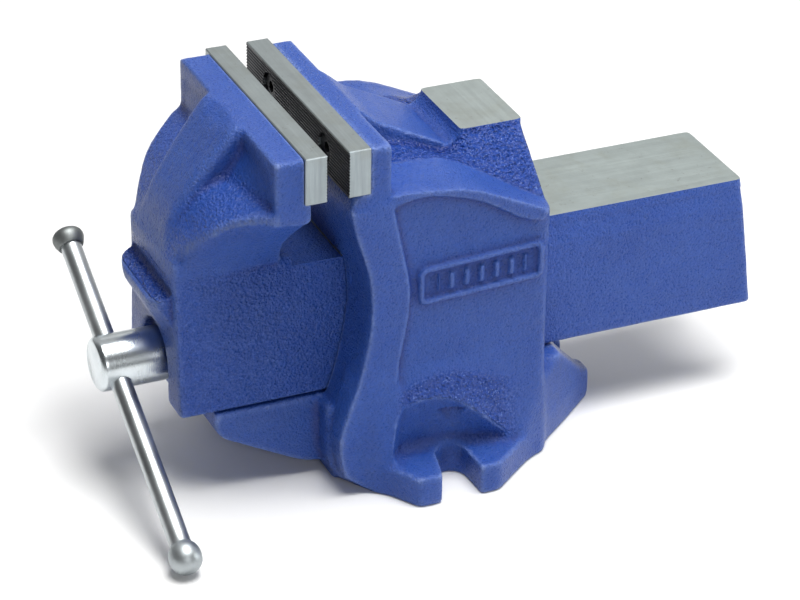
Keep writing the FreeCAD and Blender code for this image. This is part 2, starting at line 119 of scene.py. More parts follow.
def whole(f, x):
    g = np.concatenate([f[:0:-1], f], axis=0)
    return g, -float(x[-1, 0, 0])


def hash3(i, j, k, seed):
    h = (i * 374761393 + j * 668265263 + k * 2147483647 + seed * 974634777) & 0xFFFFFFFF
    h = ((h ^ (h >> 13)) * 1274126177) & 0xFFFFFFFF
    h = (h ^ (h >> 16)) & 0xFFFFFF
    return h.astype(np.float32) / float(0xFFFFFF)


def vnoise(p, scale, seed):
    """smooth value noise, 0..1, with cells of `scale` mm"""
    q = p / scale + 1000.0
    i = np.floor(q).astype(np.int64)
    f = (q - i).astype(np.float32)
    f = f * f * f * (f * (f * 6 - 15) + 10)
    r = 0
    for a in (0, 1):
        for b in (0, 1):
            for c in (0, 1):
                w = (f[:, 0] if a else 1 - f[:, 0]) * (f[:, 1] if b else 1 - f[:, 1]) * (f[:, 2] if c else 1 - f[:, 2])
                r = r + w * hash3(i[:, 0] + a, i[:, 1] + b, i[:, 2] + c, seed)
    return r


def fbm(p, scale, seed):
    return 0.6 * vnoise(p, scale, seed) + 0.4 * vnoise(p, scale * 0.47, seed + 7)


def mesh_of(f, origin):
    """closed quad surface of a field, as (points in mm, quads)"""
    g = openvdb.FloatGrid(4.0 * VOX)
    g.copyFromArray(np.clip(f, -4 * VOX, 4 * VOX).astype(np.float32))
    pts, quads = g.convertToQuads(isovalue=0.0)
    pts = np.asarray(pts, np.float64) * VOX + np.array(origin)
    return pts, np.asarray(quads, np.int64)


def relax(pts, quads, n, w=0.5):
    e = np.concatenate([quads[:, [0, 1]], quads[:, [1, 2]], quads[:, [2, 3]], quads[:, [3, 0]]])
    e = np.concatenate([e, e[:, ::-1]])
    m = len(pts)
    cnt = np.bincount(e[:, 0], minlength=m)[:, None]
    for _ in range(n):
        s = np.stack([np.bincount(e[:, 0], weights=pts[e[:, 1], k], minlength=m) for k in range(3)], 1)
        pts = pts + w * (s / np.maximum(cnt, 1) - pts)
    return pts


def normals_of(pts, quads):
    d1 = pts[quads[:, 2]] - pts[quads[:, 0]]
    d2 = pts[quads[:, 3]] - pts[quads[:, 1]]
    fn = np.cross(d1, d2)
    m = len(pts)
    n = np.zeros((m, 3))
    for c in range(4):
        for k in range(3):
            n[:, k] += np.bincount(quads[:, c], weights=fn[:, k], minlength=m)
    return n / np.maximum(np.linalg.norm(n, axis=1, keepdims=True), 1e-12)


def curvature(pts, quads, nrm, n=3):
    e = np.concatenate([quads[:, [0, 1]], quads[:, [1, 2]], quads[:, [2, 3]], quads[:, [3, 0]]])
    e = np.concatenate([e, e[:, ::-1]])
    m = len(pts)
    cnt = np.maximum(np.bincount(e[:, 0], minlength=m), 1)
    s = np.stack([np.bincount(e[:, 0], weights=pts[e[:, 1], k], minlength=m) for k in range(3)], 1) / cnt[:, None]
    c = np.einsum("ij,ij->i", nrm, pts - s)
    for _ in range(n):
        c = 0.5 * c + 0.5 * np.bincount(e[:, 0], weights=c[e[:, 1]], minlength=m) / cnt
    return c


def new_object(name, pts_mm, faces):
    me = bpy.data.meshes.new(name)
    faces = np.asarray(faces)
    k = faces.shape[1]
    me.vertices.add(len(pts_mm))
    me.vertices.foreach_set("co", (np.asarray(pts_mm, np.float64) * MM).astype(np.float32).ravel())
    me.loops.add(faces.size)
    me.loops.foreach_set("vertex_index", faces.astype(np.int32).ravel())
    me.polygons.add(len(faces))
    me.polygons.foreach_set("loop_start", np.arange(0, faces.size, k, dtype=np.int32))
    me.update(calc_edges=True)
    me.validate()
    ob = bpy.data.objects.new(name, me)
    scene.collection.objects.link(ob)
    return ob


def set_attr(ob, name, values):
    a = ob.data.attributes.new(name, "FLOAT", "POINT")
    a.data.foreach_set("value", np.asarray(values, np.float32))


def finish_mesh(ob, angle=40):
    me = ob.data
    me.polygons.foreach_set("use_smooth", np.ones(len(me.polygons), bool))
    me.set_sharp_from_angle(angle=math.radians(angle))
    me.update()


def boolean(ob, cutters, op="DIFFERENCE"):
    for c in cutters:
        m = ob.modifiers.new("cut", "BOOLEAN")
        m.operation = op
        m.solver = "EXACT"
        m.object = c
    dg = bpy.context.evaluated_depsgraph_get()
    me = bpy.data.meshes.new_from_object(ob.evaluated_get(dg))
    old = ob.data
    ob.modifiers.clear()
    ob.data = me
    me.name = ob.name
    bpy.data.meshes.remove(old)
    for c in cutters:
        d = c.data
        bpy.data.objects.remove(c)
        bpy.data.meshes.remove(d)


def box_ob(name, x0, x1, y0, y1, z0, z1):
    v = [(x, y, z) for x in (x0, x1) for y in (y0, y1) for z in (z0, z1)]
    f = [(0, 1, 3, 2), (4, 6, 7, 5), (0, 4, 5, 1), (2, 3, 7, 6), (0, 2, 6, 4), (1, 5, 7, 3)]
    return new_object(name, np.array(v, float), np.array(f))


# ------------------------------------------------------------------ the body casting
def body_field():
    x, y, z = axes(70, -86, 80, -5, 147)
    X2, Y2 = x[:, :, 0], y[:, :, 0]
    front = [(-38.6, 119.0), (-37.6, 113.5), (-36.2, 108.0), (-34.5, 102.5), (-32.7, 96.5), (-31.2, 91.0), (-30.3, 85.0),
             (-30.0, 78.0), (-30.4, 70.0), (-31.6, 62.5), (-33.4, 54.0), (-35.9, 45.0), (-38.8, 37.0), (-41.2, 30.0),
             (-42.5, 24.0), (-42.0, 17.0), (-40.0, 8.0), (-39.0, -7.0)]
    yz = lambda pts: poly2(y, z, pts)
    xy = lambda pts: poly2(x, y, pts)
    xz = lambda pts: poly2(x, z, pts)
    # base plate
    outline = xy([(-20, -35.5), (38.6, -35.5), (64.6, -18.9), (66.6, -17.4), (67.0, -15.5), (67.0, 14.0), (66.6, 15.8), (64.8, 18.2),
                  (59.6, 24.6), (29.8, 61.4), (17.6, 75.6), (16.4, 76.7), (15.0, 77.0), (-20, 77.0)])
    plate = ext(outline, slab(z, -9, 12.5), 1.0)
    # flare from the plate's rim up to the walls, steep beside the pocket; a long slope behind
    Hw = np.interp(Y2, [-40, -24, -20, -15, -10, -1.6, 6.5, 19.8, 27, 42.3, 46, 80], [37.5, 38.3, 39, 41, 43.5, 44.7, 44.2, 39.1, 36, 29.6, 28, 18]).astype(np.float32)
    Sl = np.interp(Y2, [-40, -24, -22.5, -20.3, -18.4, -15, -5, 5, 12, 18, 24, 27, 42, 80], [5.0, 4.6, 3.8, 2.4, 1.9, 1.8, 1.7, 1.8, 2.2, 2.9, 3.7, 4.0, 4.2, 4.2]).astype(np.float32)
    hs_ = Hw - Sl * (X2 - 47.6)
    hr_ = np.where(X2 < 36.5, 33.6, 33.6 - 1.0 * (X2 - 36.5)) - 1.05 * np.maximum(Y2 - 54.5, 0)
    h = np.where(Y2 > 41.0, np.maximum(hr_, np.minimum(hs_, Hw) - 2.0 * (Y2 - 41.0)), hs_)
    fac = np.where(Y2 > 41.0, 0.5, 1.0 / np.sqrt(1.0 + Sl * Sl)).astype(np.float32)
    flare = (z - h[:, :, None].astype(np.float32)) * fac[:, :, None]
    flare = np.maximum(flare, (40.0 - x) * 1.0 + np.where(Y2 > 41.0, -60.0, 0.0)[:, :, None].astype(np.float32))
    flare = np.maximum(flare, (z - 46.0))
    ramp = i_round(outline + 0.3, flare, 0.8)
    # the pillar, under a shaped shoulder
    pil = yz(front + [(60, -9), (60, 145), (-31.2, 145), (-31.2, 125.2), (-36.4, 125.2), (-38.0, 121.0)])
    foot = i_round(x - 47.6, y - 42.5, 2.8)
    ys = [-40, -31.2, -22.5, -9, 5, 12.6, 19, 28, 42.3, 80]
    zs = np.interp(Y2, ys, [125.0, 125.0, 122.8, 122.3, 120.6, 118.3, 115.4, 111.2, 104.6, 90])
    x2 = np.interp(Y2, ys, [28, 28, 28, 28, 28, 30.5, 33, 36.8, 42.5, 50])
    z2 = np.interp(Y2, ys, [125.2, 125.2, 124.4, 124.2, 123.6, 121.0, 117.8, 113.0, 106.0, 92])
    zt = np.interp(Y2, [-40, -31.2, -22.5, -15, -9, -4, 2.5, 8.5, 11.5, 13.5, 15.2, 17.6, 18.6, 19.4, 80], [131, 131, 130, 129, 128.1, 126.7, 123.6, 120.8, 121.3, 122.2, 123.5, 126.3, 127.8, 131.0, 131.0])
    t1 = np.clip((X2 - 18.15) / (x2 - 18.15), 0, 1)
    t2 = np.clip((X2 - x2) / np.maximum(49.0 - x2, 0.1), 0, 1)
    # the anvil flank is a straight ramp down from the pad's edge
    edge = np.where(zt > 127.9, np.where(Y2 > 10, 127.9 + (zt - 127.9) * np.clip(1 - (X2 - 17.6) / 1.0, 0, 1), zt), zt)
    hs = edge + (z2 - edge) * t1 + (zs - z2) * t2
    shoulder = (z - hs[:, :, None].astype(np.float32)) * 0.8
    pillar = np.maximum(np.maximum(pil, foot), shoulder)
    # flange down the front edge of each side wall
    f_in = [(-22.3, 121.0), (-20.2, 110.0), (-18.0, 100.0), (-15.8, 90.0), (-14.8, 82.0), (-15.4, 72.0), (-17.3, 61.0), (-18.7, 54.0),
            (-19.3, 46.0), (-18.6, 36.0), (-17.6, 26.0), (-17.0, 16.0), (-16.0, -7.0)]
    flange = ext(yz(front + f_in[::-1]), slab(x, 42, 49.9), 0.8)
    pillar = u_round(pillar, flange, 0.8)
    arch = ext(yz([(-23.0, 124.0), (-9.0, 123.4), (3.0, 121.8), (12.6, 119.2), (28.0, 112.0), (41.0, 105.0), (38.0, 101.2), (33.5, 102.2), (28.5, 104.2),
                   (22.2, 108.2), (14.6, 112.8), (9.0, 115.3), (3.6, 117.1), (-3.0, 118.8), (-8.6, 119.6), (-14.0, 119.6), (-18.1, 118.7), (-23.0, 117.0)]),
               slab(x, 42, 49.6), 0.4)
    pillar = u_round(pillar, np.maximum(arch, shoulder), 0.5)
    # fixed jaw, saddle and anvil
    jaw = ext(ext(x - 49.5, slab(z, 112.0, 143.7), 1.6), slab(y, -34.0, -22.5), 1.0)
    ledge = ext(yz([(-38.7, 118.6), (-38.3, 121.5), (-36.6, 125.2), (-25.0, 126.0), (-25.0, 113.0), (-37.4, 113.0)]), x - 49.5, 1.4)
    saddle = ext(yz([(-31.2, 143.7), (-23.0, 143.7), (-14.3, 136.4), (-7.0, 133.0), (-0.5, 129.4), (5.0, 126.8), (9.5, 124.6), (12.6, 122.7), (15.2, 123.6),
                     (17.6, 126.4), (18.8, 131.0), (42.3, 131.0), (42.3, 95.0), (-31.2, 95.0)]), x - 18.15, 0.3)
    # floor under the slide: a narrow nose in line with the slide, a plinth behind
    nose = i_round(yz([(-83.6, 33.6), (-83.8, 28.5), (-82.6, 25.0), (-80.2, 22.4), (-70.1, 17.0), (-60.0, 11.7), (-51.3, 7.1), (-46.5, 5.4), (-41.5, 5.0),
                       (-38.0, 2.6), (-35.4, 0.0), (-35.4, -9.0), (-20.0, -9.0), (-20.0, 33.6)]), x - (29.2 + (33.6 - z) * 0.02), 0.8)
    heel = i_round(yz([(-43.2, 30.0), (-42.6, 12.0), (-41.0, 6.0), (-35.6, 0.0), (-35.5, -9.0), (-20.0, -9.0), (-20.0, 33.6), (-42.5, 33.6)]), x - 38.6, 1.5)
    plinth = i_round(i_round(yz([(20.0, 5.0), (54.6, 5.0), (54.6, 33.6), (20.0, 33.6)]), x - 36.5, 1.0), outline + 0.3, 0.8)
    b = u_round(plate, ramp, 0.8)
    b = u_round(b, pillar, 6.0)
    b = u_round(b, jaw, 1.0)
    b = u_round(b, ledge, 0.6)
    b = u_round(b, saddle, 0.8)
    b = u_round(b, heel, 1.5)
    b = u_round(b, nose, 1.5)
    b = u_round(b, plinth, 1.5)
    b = i_round(b, z - 143.75, 0.7)
    b = i_round(b, np.maximum(x - 49.75, -1.0 * (z - 60)) + np.where(z < 70, -60.0, 0.0).astype(np.float32), 0.7)
    # slanted underside of the front feet
    dp = 0.341 * (x - 38.6) - 0.569 * (y + 35.5) - 0.748 * z
    b = np.maximum(b, -np.maximum(np.maximum(-dp, 36.0 - x), z - 18.5))
    # deep pocket round each side slot
    PY = [-24, -20.3, -18.4, -15.9, -12, -7.4, -1.6, 3, 7.2, 12.2, 17.4, 22.7, 27.2, 30]
    over = np.interp(Y2, PY, [0.3, 1.8, 2.8, 4.1, 5.4, 6.3, 7.0, 7.2, 7.1, 5.9, 3.8, 1.8, 0.3, 0.0]).astype(np.float32)[:, :, None]
    rise = np.interp(Y2, PY, [14, 28.5, 32.5, 34.3, 35.8, 36.3, 36, 34.4, 31.6, 27.5, 22.2, 16.9, 13.6, 13.6]).astype(np.float32)[:, :, None] - 12.5
    lean = x - over * np.clip((z - 12.5) / rise, 0, 1.12) ** 1.6
    plan = poly2(lean, y + 0.0 * z, [(53.9, -23.2), (50.2, -20.4), (47.4, -17.4), (46.2, -13.5), (45.6, -9.0), (45.5, -4.0), (45.7, 1.0), (46.3, 5.0), (47.4, 9.0),
                  (49.0, 14.0), (50.8, 19.5), (53.0, 27.0), (96.0, 48.0), (96.0, -62.0)])
    pocket = i_round(plan, 12.5 - z, 4.5)
    pocket = np.maximum(pocket, z - 48.0)
    # slots
    slot = xy([(53.5, -4.9), (52.6, -4.85), (51.2, -4.45), (49.7, -3.5), (48.5, -2.1), (47.8, -0.4), (47.6, 1.0), (47.8, 2.6), (48.5, 4.2), (49.6, 5.5),
               (51.2, 6.5), (53.5, 6.95), (60.0, 7.2), (69.0, 7.6), (69.0, -8.6), (64.5, -7.4), (60.0, -6.3)])
    b = np.maximum(b, -np.maximum(slot, z - 30.0))
    rear = xy([(-20, 57.6), (0.0, 57.6), (2.3, 58.0), (4.2, 59.3), (5.5, 61.4), (5.9, 63.5), (7.4, 72.0), (8.3, 80.0), (-20, 80.0)])
    b = np.maximum(b, -np.maximum(rear, z - 30.0))
    rp = np.maximum(i_round(np.hypot(x, y - 65.0) - 12.0, 12.5 - z, 2.0), 55.2 - y)
    b = np.maximum(b, -rp)
    # raised tablet with plain bars on the side wall
    yc, zc = 14.0, 83.9
    u, w = y - yc, z - zc - 0.05 * (y - yc)
    tab2 = ext(np.abs(u) - 25.3, np.abs(w) - 7.8, 3.4)
    ringf = np.maximum(tab2, -(tab2 + 2.5))
    tabf = ext(ringf, slab(x, 44.0, 49.5), 0.5)
    bars = ext(ext(np.abs(((u + 3.0) % 6.0) - 3.0) - 1.25, np.abs(w) - 3.5, 0.6) + np.where(np.abs(u) > 18.0, 50.0, 0.0).astype(np.float32), slab(x, 44.0, 49.4), 0.4)
    b = blur(b, 2)
    b = u_round(b, flange, 0.5)
    b = u_round(b, np.maximum(arch, shoulder), 0.4)
    b = u_round(b, np.maximum(saddle, z - 130.5), 0.4)
    b = u_round(b, ext(ext(x - 18.15, slab(y, 18.4, 42.3), 0.6), slab(z, 110.0, 131.0), 0.0), 0.3)
    b = i_round(b, z - 143.75, 0.3)
    b = np.maximum(b, -np.maximum(np.maximum(-dp, 36.0 - x), z - 18.5))
    b = i_round(b, -pocket, 0.5)
    b = np.maximum(b, -np.maximum(slot, z - 30.0))
    b = u_round(b, np.minimum(tabf, bars), 0.35)
    # crisp cuts: jaw plate seat, tunnel, hollow below
    b = np.maximum(b, -np.maximum(np.maximum(y + 31.2, 125.4 - z), -60 - y))
    tun = poly2(x, z, [(-20, 33.6), (28.5, 33.6), (25.2, 75.0), (22.5, 87.1), (-20, 87.1)])
    b = np.maximum(b, -np.maximum(tun, slab(y, -60, 60)))
    hol = ext(ext(x - 33.0, slab(y, -24.0, 33.0), 3.0), slab(z, -20.0, 21.5), 2.0)
    b = np.maximum(b, -hol)
    b = np.maximum(b, -np.maximum(np.maximum(x - 12.2, np.abs(y) - 14.2), slab(z, 10, 40)))
    return b, x, y, z


def make_body():
    f, x, y, z = body_field()
    f, x0 = whole(f, x)
    X = np.arange(f.shape[0], dtype=np.float32)[:, None, None] * VOX + x0
    # rounded upper corners of the fixed jaw, fuller on one side
    for s, r in ((-1, 5.0), (1, 1.6)):
        c = np.hypot(np.maximum(s * X - (49.5 - r), 0), np.maximum(z - (143.7 - r), 0)) - r
        reg = np.maximum(np.maximum(49.5 - r - s * X, 143.7 - r - z), y + 20.0)
        f = np.maximum(f, -np.maximum(-c, reg))
    pts, quads = mesh_of(f, (x0, float(y[0, 0, 0]), float(z[0, 0, 0])))
    return pts, quads


# ------------------------------------------------------------------ the sliding jaw casting
# rim of the wings: y, x, lower edge z, upper edge z
RIM = np.array([(-50.0, 49.3, 118.2, 123.6), (-66.5, 49.3, 118.9, 123.5), (-68.0, 49.0, 119.2, 123.3), (-72.0, 45.9, 118.8, 122.8), (-76.0, 42.3, 117.5, 121.4),
                (-80.0, 39.1, 115.7, 119.3), (-84.0, 36.5, 112.8, 116.6), (-88.0, 32.7, 108.4, 112.7), (-92.0, 27.1, 103.0, 107.6), (-94.5, 23.2, 98.8, 103.3),
                (-97.0, 20.6, 93.2, 97.6), (-100.0, 19.0, 89.0, 92.0)])


def rim(y):
    k = -RIM[:, 0]
    return tuple(np.interp(-y, k, RIM[:, i]) for i in (1, 2, 3))


def floor_z(x, y):
    """top of the wings: a shelf, a little higher where it meets the spine"""
    xr, zl, zu = rim(y)
    up = np.interp(-y, [67, 74, 84, 88, 92, 97], [1.8, 2.4, 3.0, 2.6, 1.6, 0.6])
    return zu + up * np.clip((xr - 1.0 - x) / np.maximum(xr - 17.0, 1.0), 0, 1)


def jaw_field():
    x, y, z = axes(54, -107, 145, 30, 147)
    yz = lambda pts: poly2(y, z, pts)
    xz = lambda pts: poly2(x, z, pts)
    # slide, taken past its machined top
    sec = xz([(-20, 34.0), (28.0, 34.0), (24.7, 75.0), (21.3, 90.3), (-20, 90.3)])
    rear = (y - 136.2) * 0.9959 + (z - 86.7) * 0.0907
    slide = ext(ext(sec, rear, 1.0), -96.9 - y, 0.8)
    # slices of the wings: hollow flared underside, upright rim, shelf on top
    wing = np.full((x.shape[0], y.shape[1], z.shape[2]), 60.0, np.float32)
    xs, zs = x[:, 0, :], z[0, :, :]
    for j in range(y.shape[1]):
        yy = float(y[0, j, 0])
        if yy < -101 or yy > -52:
            continue
        yc = min(yy, -56.0)
        xr, zl, zu = (float(v) for v in rim(yc))
        x1 = max(xr - 0.9, 15.6)
        top = [(xr, zl + 0.8), (xr, zu - 0.5), (x1, zu)]
        for q in (0.66, 0.33, 0.0):
            xq = 15.0 + (x1 - 15.0) * q
            top.append((xq, float(floor_z(xq, yc))))
        top.append((-20, top[-1][1]))
        nx = min(24.6, xr - 0.4)
        pts = [(-20, 90.6), (nx - 0.3, 90.6), (nx, 91.6)]
        if xr > 26.0:
            for q, k in ((0.3, 0.38), (0.65, 0.72)):
                pts.append((nx + (xr - nx) * q, 91.5 + (zl - 91.5) * k))
        pts.append((xr - 0.7, zl))
        wing[:, j, :] = poly2(xs, zs, pts + top) * 0.9
    wing = np.maximum(wing, np.maximum(-97.8 - y, y + 52.0))
    # spine: ground front, wide at the top, waisted, spreading into the boss
    half = np.interp(z, [84, 90, 96, 100, 104, 109, 119, 130, 142], [22.5, 22.0, 20.0, 17.2, 14.9, 14.0, 14.6, 16.0, 17.4]).astype(np.float32)
    prof = yz([(-50.0, 143.7), (-68.6, 143.7), (-69.6, 143.2), (-72.0, 141.2), (-76.3, 136.0), (-80.7, 130.3), (-85.0, 124.6), (-89.0, 119.0), (-91.6, 115.0), (-93.7, 111.0),
               (-95.2, 106.5), (-96.2, 101.5), (-96.8, 96.5), (-97.1, 91.0), (-97.1, 84.0), (-50.0, 84.0)])
    # scooped middle of its top end
    prof = prof + 1.6 * np.exp(-(x / 9.0) ** 2 - ((z - 143.0) / 3.5) ** 2 - ((y + 69.5) / 5.0) ** 2)
    spine = i_round(prof, (x - half) * 0.93, 3.4)
    # web in the corner between the block, the spine and the shelf
    dpt = np.interp(x[:, 0, 0], [0, 15, 22, 32, 40, 44, 45.5, 60], [8.2, 8.0, 6.6, 4.2, 2.2, 1.2, -2.0, -8.0]).astype(np.float32)[:, None, None]
    tz = np.clip((138.6 - 0.004 * (x - 10) ** 2 - z) / 15.0, 0, 1.2)
    yw = -66.6 - dpt * tz ** 1.35
    web = np.maximum(np.maximum((yw - y) * 0.85, z - 142.0), np.maximum(x - 45.6, 117.0 - z))
    sx = np.interp(z, [34, 75, 90.3, 97], [28.0, 24.7, 21.3, 20.4]).astype(np.float32)
    wide = sx + (24.5 - sx) * np.clip((-52.0 - y) / 26.0, 0, 1)
    neck = ext(slab(z, 70.0, 97.0), ext(x - wide, -97.0 - y, 1.2), 0.5)
    block = ext(ext(x - 49.3, slab(z, 118.0, 143.7), 1.4), slab(y, -67.5, -50.0), 1.0)
    pan = ext(ext(x - 44.8, slab(z, 110.0, 137.6), 8.0), -75.0 - y, 0.0)
    block = np.maximum(block, -i_round(pan, y + 66.4, 0.8))
    ledge = ext(ext(x - 49.3, slab(z, 117.0, 125.2), 1.5), slab(y, -62.0, -53.3), 2.0)
    up = u_round(wing, neck, 2.0)
    up = u_round(up, block, 0.8)
    up = u_round(up, web, 1.2)
    up = u_round(up, spine, 1.6)
    up = u_round(up, ledge, 0.6)
    up = i_round(up, z - 143.7, 0.7)
    up = i_round(up, x - 49.3, 0.7)
    lim = yz([(-120, 72.0), (-46.0, 72.0), (-46.0, 84.0), (-48.6, 86.9), (-51.4, 87.9), (-54.0, 90.2), (-55.8, 93.6), (-56.6, 97.6), (-56.8, 101.0), (-56.4, 106.0), (-55.2, 111.5),
              (-53.6, 116.5), (-53.2, 118.6), (-53.2, 160.0), (-120, 160.0)])
    up = i_round(up, lim, 0.8)
    f = np.minimum(slide, up)
    lplan = poly2(x, y, [(-30, -104.1), (14.0, -104.1), (17.6, -103.5), (19.8, -102.2), (21.0, -100.2), (21.6, -97.0), (22.0, -90.0), (-30, -90.0)])
    ltop = (z - (80.4 + 0.45 * (y + 104.0))) * 0.9
    lbot = yz([(-90.0, 95.0), (-104.6, 95.0), (-104.6, 77.8), (-103.9, 75.9), (-100.6, 69.8), (-97.0, 63.5), (-90.0, 62.0)]) + 0.34 * np.maximum(x - 12.0, 0.0)
    lip = i_round(i_round(lplan, ltop, 0.5), lbot, 0.6)
    rec = ext(np.where(z > SCREW_Z, np.hypot(x, z - SCREW_Z) - 13.5, x - 13.5), slab(y, -120.0, -92.5), 0.0)
    f = np.maximum(f, -rec)
    f = blur(f, 2)
    f = u_round(f, lip, 0.5)
    f = i_round(f, -ext(np.hypot(y + 98.5, z - 84.0) - 2.0, x - 20.5, 0.0), 0.5)
    f = np.maximum(f, -rec)
    # crisp cuts: plate seat, hollow of the slide, bore
    f = np.maximum(f, -np.maximum(np.maximum(-56.4 - y, 125.4 - z), y - 60))
    ch = i_round(xz([(-20, 20.0), (21.1, 20.0), (20.5, 33.0), (17.5, 70.0), (14.5, 77.5), (-20, 77.5)]), -80.0 - y, 1.5)
    f = np.maximum(f, -ch)
    f = np.maximum(f, -np.maximum(np.hypot(x, z - SCREW_Z) - 9.8, slab(y, -130, -70)))
    return f, x, y, z


def make_jaw():
    f, x, y, z = jaw_field()
    f, x0 = whole(f, x)
    X = np.arange(f.shape[0], dtype=np.float32)[:, None, None] * VOX + x0
    for s, r in ((-1, 5.0), (1, 1.8)):
        c = np.hypot(np.maximum(s * X - (49.3 - r), 0), np.maximum(z - (143.7 - r), 0)) - r
        reg = np.maximum(49.3 - r - s * X, 143.7 - r - z)
        f = np.maximum(f, -np.maximum(-c, reg))
    return mesh_of(f, (x0, float(y[0, 0, 0]), float(z[0, 0, 0])))


def smoothstep(a, b, v):
    t = np.clip((v - a) / (b - a), 0, 1)
    return t * t * (3 - 2 * t)


def outward(pts, quads):
    """faces wound so that the enclosed volume is positive"""
    a, b_, c, d = (pts[quads[:, k]] for k in range(4))
    vol = np.einsum("ij,ij->i", a, np.cross(b_, c)).sum() + np.einsum("ij,ij->i", a, np.cross(c, d)).sum()
    return quads if vol > 0 else quads[:, ::-1].copy()


def casting(name, maker, fixed_mask, rough_mask, worn_mask):
    pts, quads = maker()
    quads = outward(pts, quads)
    keep = fixed_mask(pts)
    soft = relax(pts, quads, 2)
    pts = np.where(keep[:, None] > 0.5, pts, soft)
    nrm = normals_of(pts, quads)
    rough = rough_mask(pts, nrm)
    # skin of a sand casting: shallow hollows only, so nothing grows past the design size
    amp = (0.16 + 0.22 * rough) * (1 - keep)
    skin = fbm(pts, 3.0, 3) * (1 - rough) + fbm(pts, 1.9, 11) * rough
    wave = fbm(pts, 14.0, 23)
    pts = pts - nrm * (amp * skin + 0.22 * (1 - keep) * wave)[:, None]
    nrm = normals_of(pts, quads)
    cur = curvature(pts, quads, nrm)
    ob = new_object(name, pts, quads)
    set_attr(ob, "cast_rough", rough)
    set_attr(ob, "worn", worn_mask(pts, nrm))
    # broad hollows and ridges, a few millimetres across, for the enamel's painted shade in hollows and painted
    # highlight on ridges
    wide = relax(pts, quads, max(4, int(26 * (0.75 / VOX) ** 2)))
    set_attr(ob, "cavity", np.clip(((wide - pts) * nrm).sum(1) / 0.55, -1, 1))
    # the tablet's small ribs get less of the painted edge highlight and crease shade
    tab = (np.abs(pts[:, 0]) > 46.5) * (np.abs(pts[:, 1] - 14.0) < 28.0) * (np.abs(pts[:, 2] - 84.0) < 11.5)
    set_attr(ob, "edge", np.clip(cur / (0.09 * VOX), -1, 1) * (1.0 - 0.58 * tab))
    return ob


def body_fixed(p):
    x, y, z = np.abs(p[:, 0]), p[:, 1], p[:, 2]
    k = (z < 0.6)
    k |= (y < -30.9) & (z > 125.0)
    k |= (x < 29.2) & (z > 33.0) & (z < 87.8) & (y > -43) & (y < 41.8)
    k |= (x < 18.2) & (z > 125.5) & (y > 17)
    return k.astype(float)


def body_rough(p, n):
    x, y, z = np.abs(p[:, 0]), p[:, 1], p[:, 2]
    # as-cast zone from the jaw block to the anvil flank, inside the shoulder's ridge
    ridge = np.interp(y, [-24, 5, 12.6, 19, 28, 42.3], [27.5, 28, 30.5, 33, 36.8, 42.5])
    a = smoothstep(0.8, -1.2, x - ridge) * smoothstep(18.2, 19.2, x) * smoothstep(101, 104, z) * (z < 132) * smoothstep(0.25, 0.5, n[:, 2]) * smoothstep(-22.8, -21.0, y)
    # flare above the pocket at the foot of the side wall
    hw = np.interp(y, [-24, -20, -15, -10, -1.6, 6.5, 19.8, 27, 42.3], [36, 39, 41, 43.5, 44.7, 44.2, 39.1, 36, 31])
    b = smoothstep(3.0, -2.0, z - hw) * smoothstep(13, 17, z) * smoothstep(47.4, 48.2, x) * smoothstep(0.05, 0.16, n[:, 2]) * smoothstep(-22, -16, y) * smoothstep(34, 20, y)
    return np.clip(a + 0.9 * b, 0, 1)


def jaw_fixed(p):
    x, y, z = np.abs(p[:, 0]), p[:, 1], p[:, 2]
    k = (y > -56.8) & (z > 125.0)
    k |= (z > 83.5) & (y > -49.0)
    k |= (x < 21.5) & (y > -80.5) & (z < 78.5)
    k |= (np.hypot(x, z - SCREW_Z) < 10.6) & (y < -78)
    return k.astype(float)


def jaw_rough(p, n):
    x, y, z = np.abs(p[:, 0]), p[:, 1], p[:, 2]
    fl = floor_z(x, y)
    a = smoothstep(4.0, 1.0, np.abs(z - fl)) * (x > 15) * (y < -67) * (z > 97)
    b = smoothstep(-96.5, -99.0, y) * (z > 81) * (z < 90)
    c = smoothstep(91.5, 89.0, z) * smoothstep(0.5, 0.8, np.abs(n[:, 0])) * (0.12 + 0.26 * smoothstep(-20, -60, y))
    return np.clip(0.30 * a + b + c, 0, 1)


def body_worn(p, n):
    x, y, z = np.abs(p[:, 0]), p[:, 1], p[:, 2]
    # fettled side of the nose
    return 0.12 * (x > 28.5) * (y < -43) * (z < 33.0) * smoothstep(0.6, 0.9, np.abs(n[:, 0]))


def jaw_worn(p, n):
    x, y, z = np.abs(p[:, 0]), p[:, 1], p[:, 2]
    # fettled front of the spine and rim of the wings
    a = smoothstep(18.4, 16.4, x) * smoothstep(94, 100, z) * smoothstep(-0.45, -0.65, n[:, 1]) * (y < -66) * (0.22 + 0.48 * smoothstep(111, 98, z))
    xr, zl, zu = rim(y)
    b = smoothstep(1.5, 0.5, np.abs(x - xr)) * (z > zl - 1) * (z < zu + 0.6) * (y < -66) * 0.8
    c = smoothstep(24, 22, x) * smoothstep(84, 87, z) * smoothstep(108, 104, z) * smoothstep(-0.6, -0.8, n[:, 1]) * (y < -94) * 0.6
    d = smoothstep(-101.0, -102.5, y) * smoothstep(0.35, 0.05, n[:, 2]) * (z > 70) * (z < 86) * 0.9
    return np.clip(np.maximum(np.maximum(a, b), np.maximum(c, d)), 0, 1)


body = casting("body_casting_skin", make_body, body_fixed, body_rough, body_worn)
jaw = casting("sliding_jaw_casting_skin", make_jaw, jaw_fixed, jaw_rough, jaw_worn)

# machined surfaces: anvil pad, bench face, slide top
boolean(body, [box_ob("c1", -40, 40, 5, 60, ANVIL_Z, 150), box_ob("c2", -90, 90, -100, 100, -30, 0.0)])
boolean(jaw, [box_ob("c3", -40, 40, -31.0, 170, SL_TOP, 120), box_ob("c4", -40, 40, -50.2, -30.9, SL_TOP - 0.08, 120)])


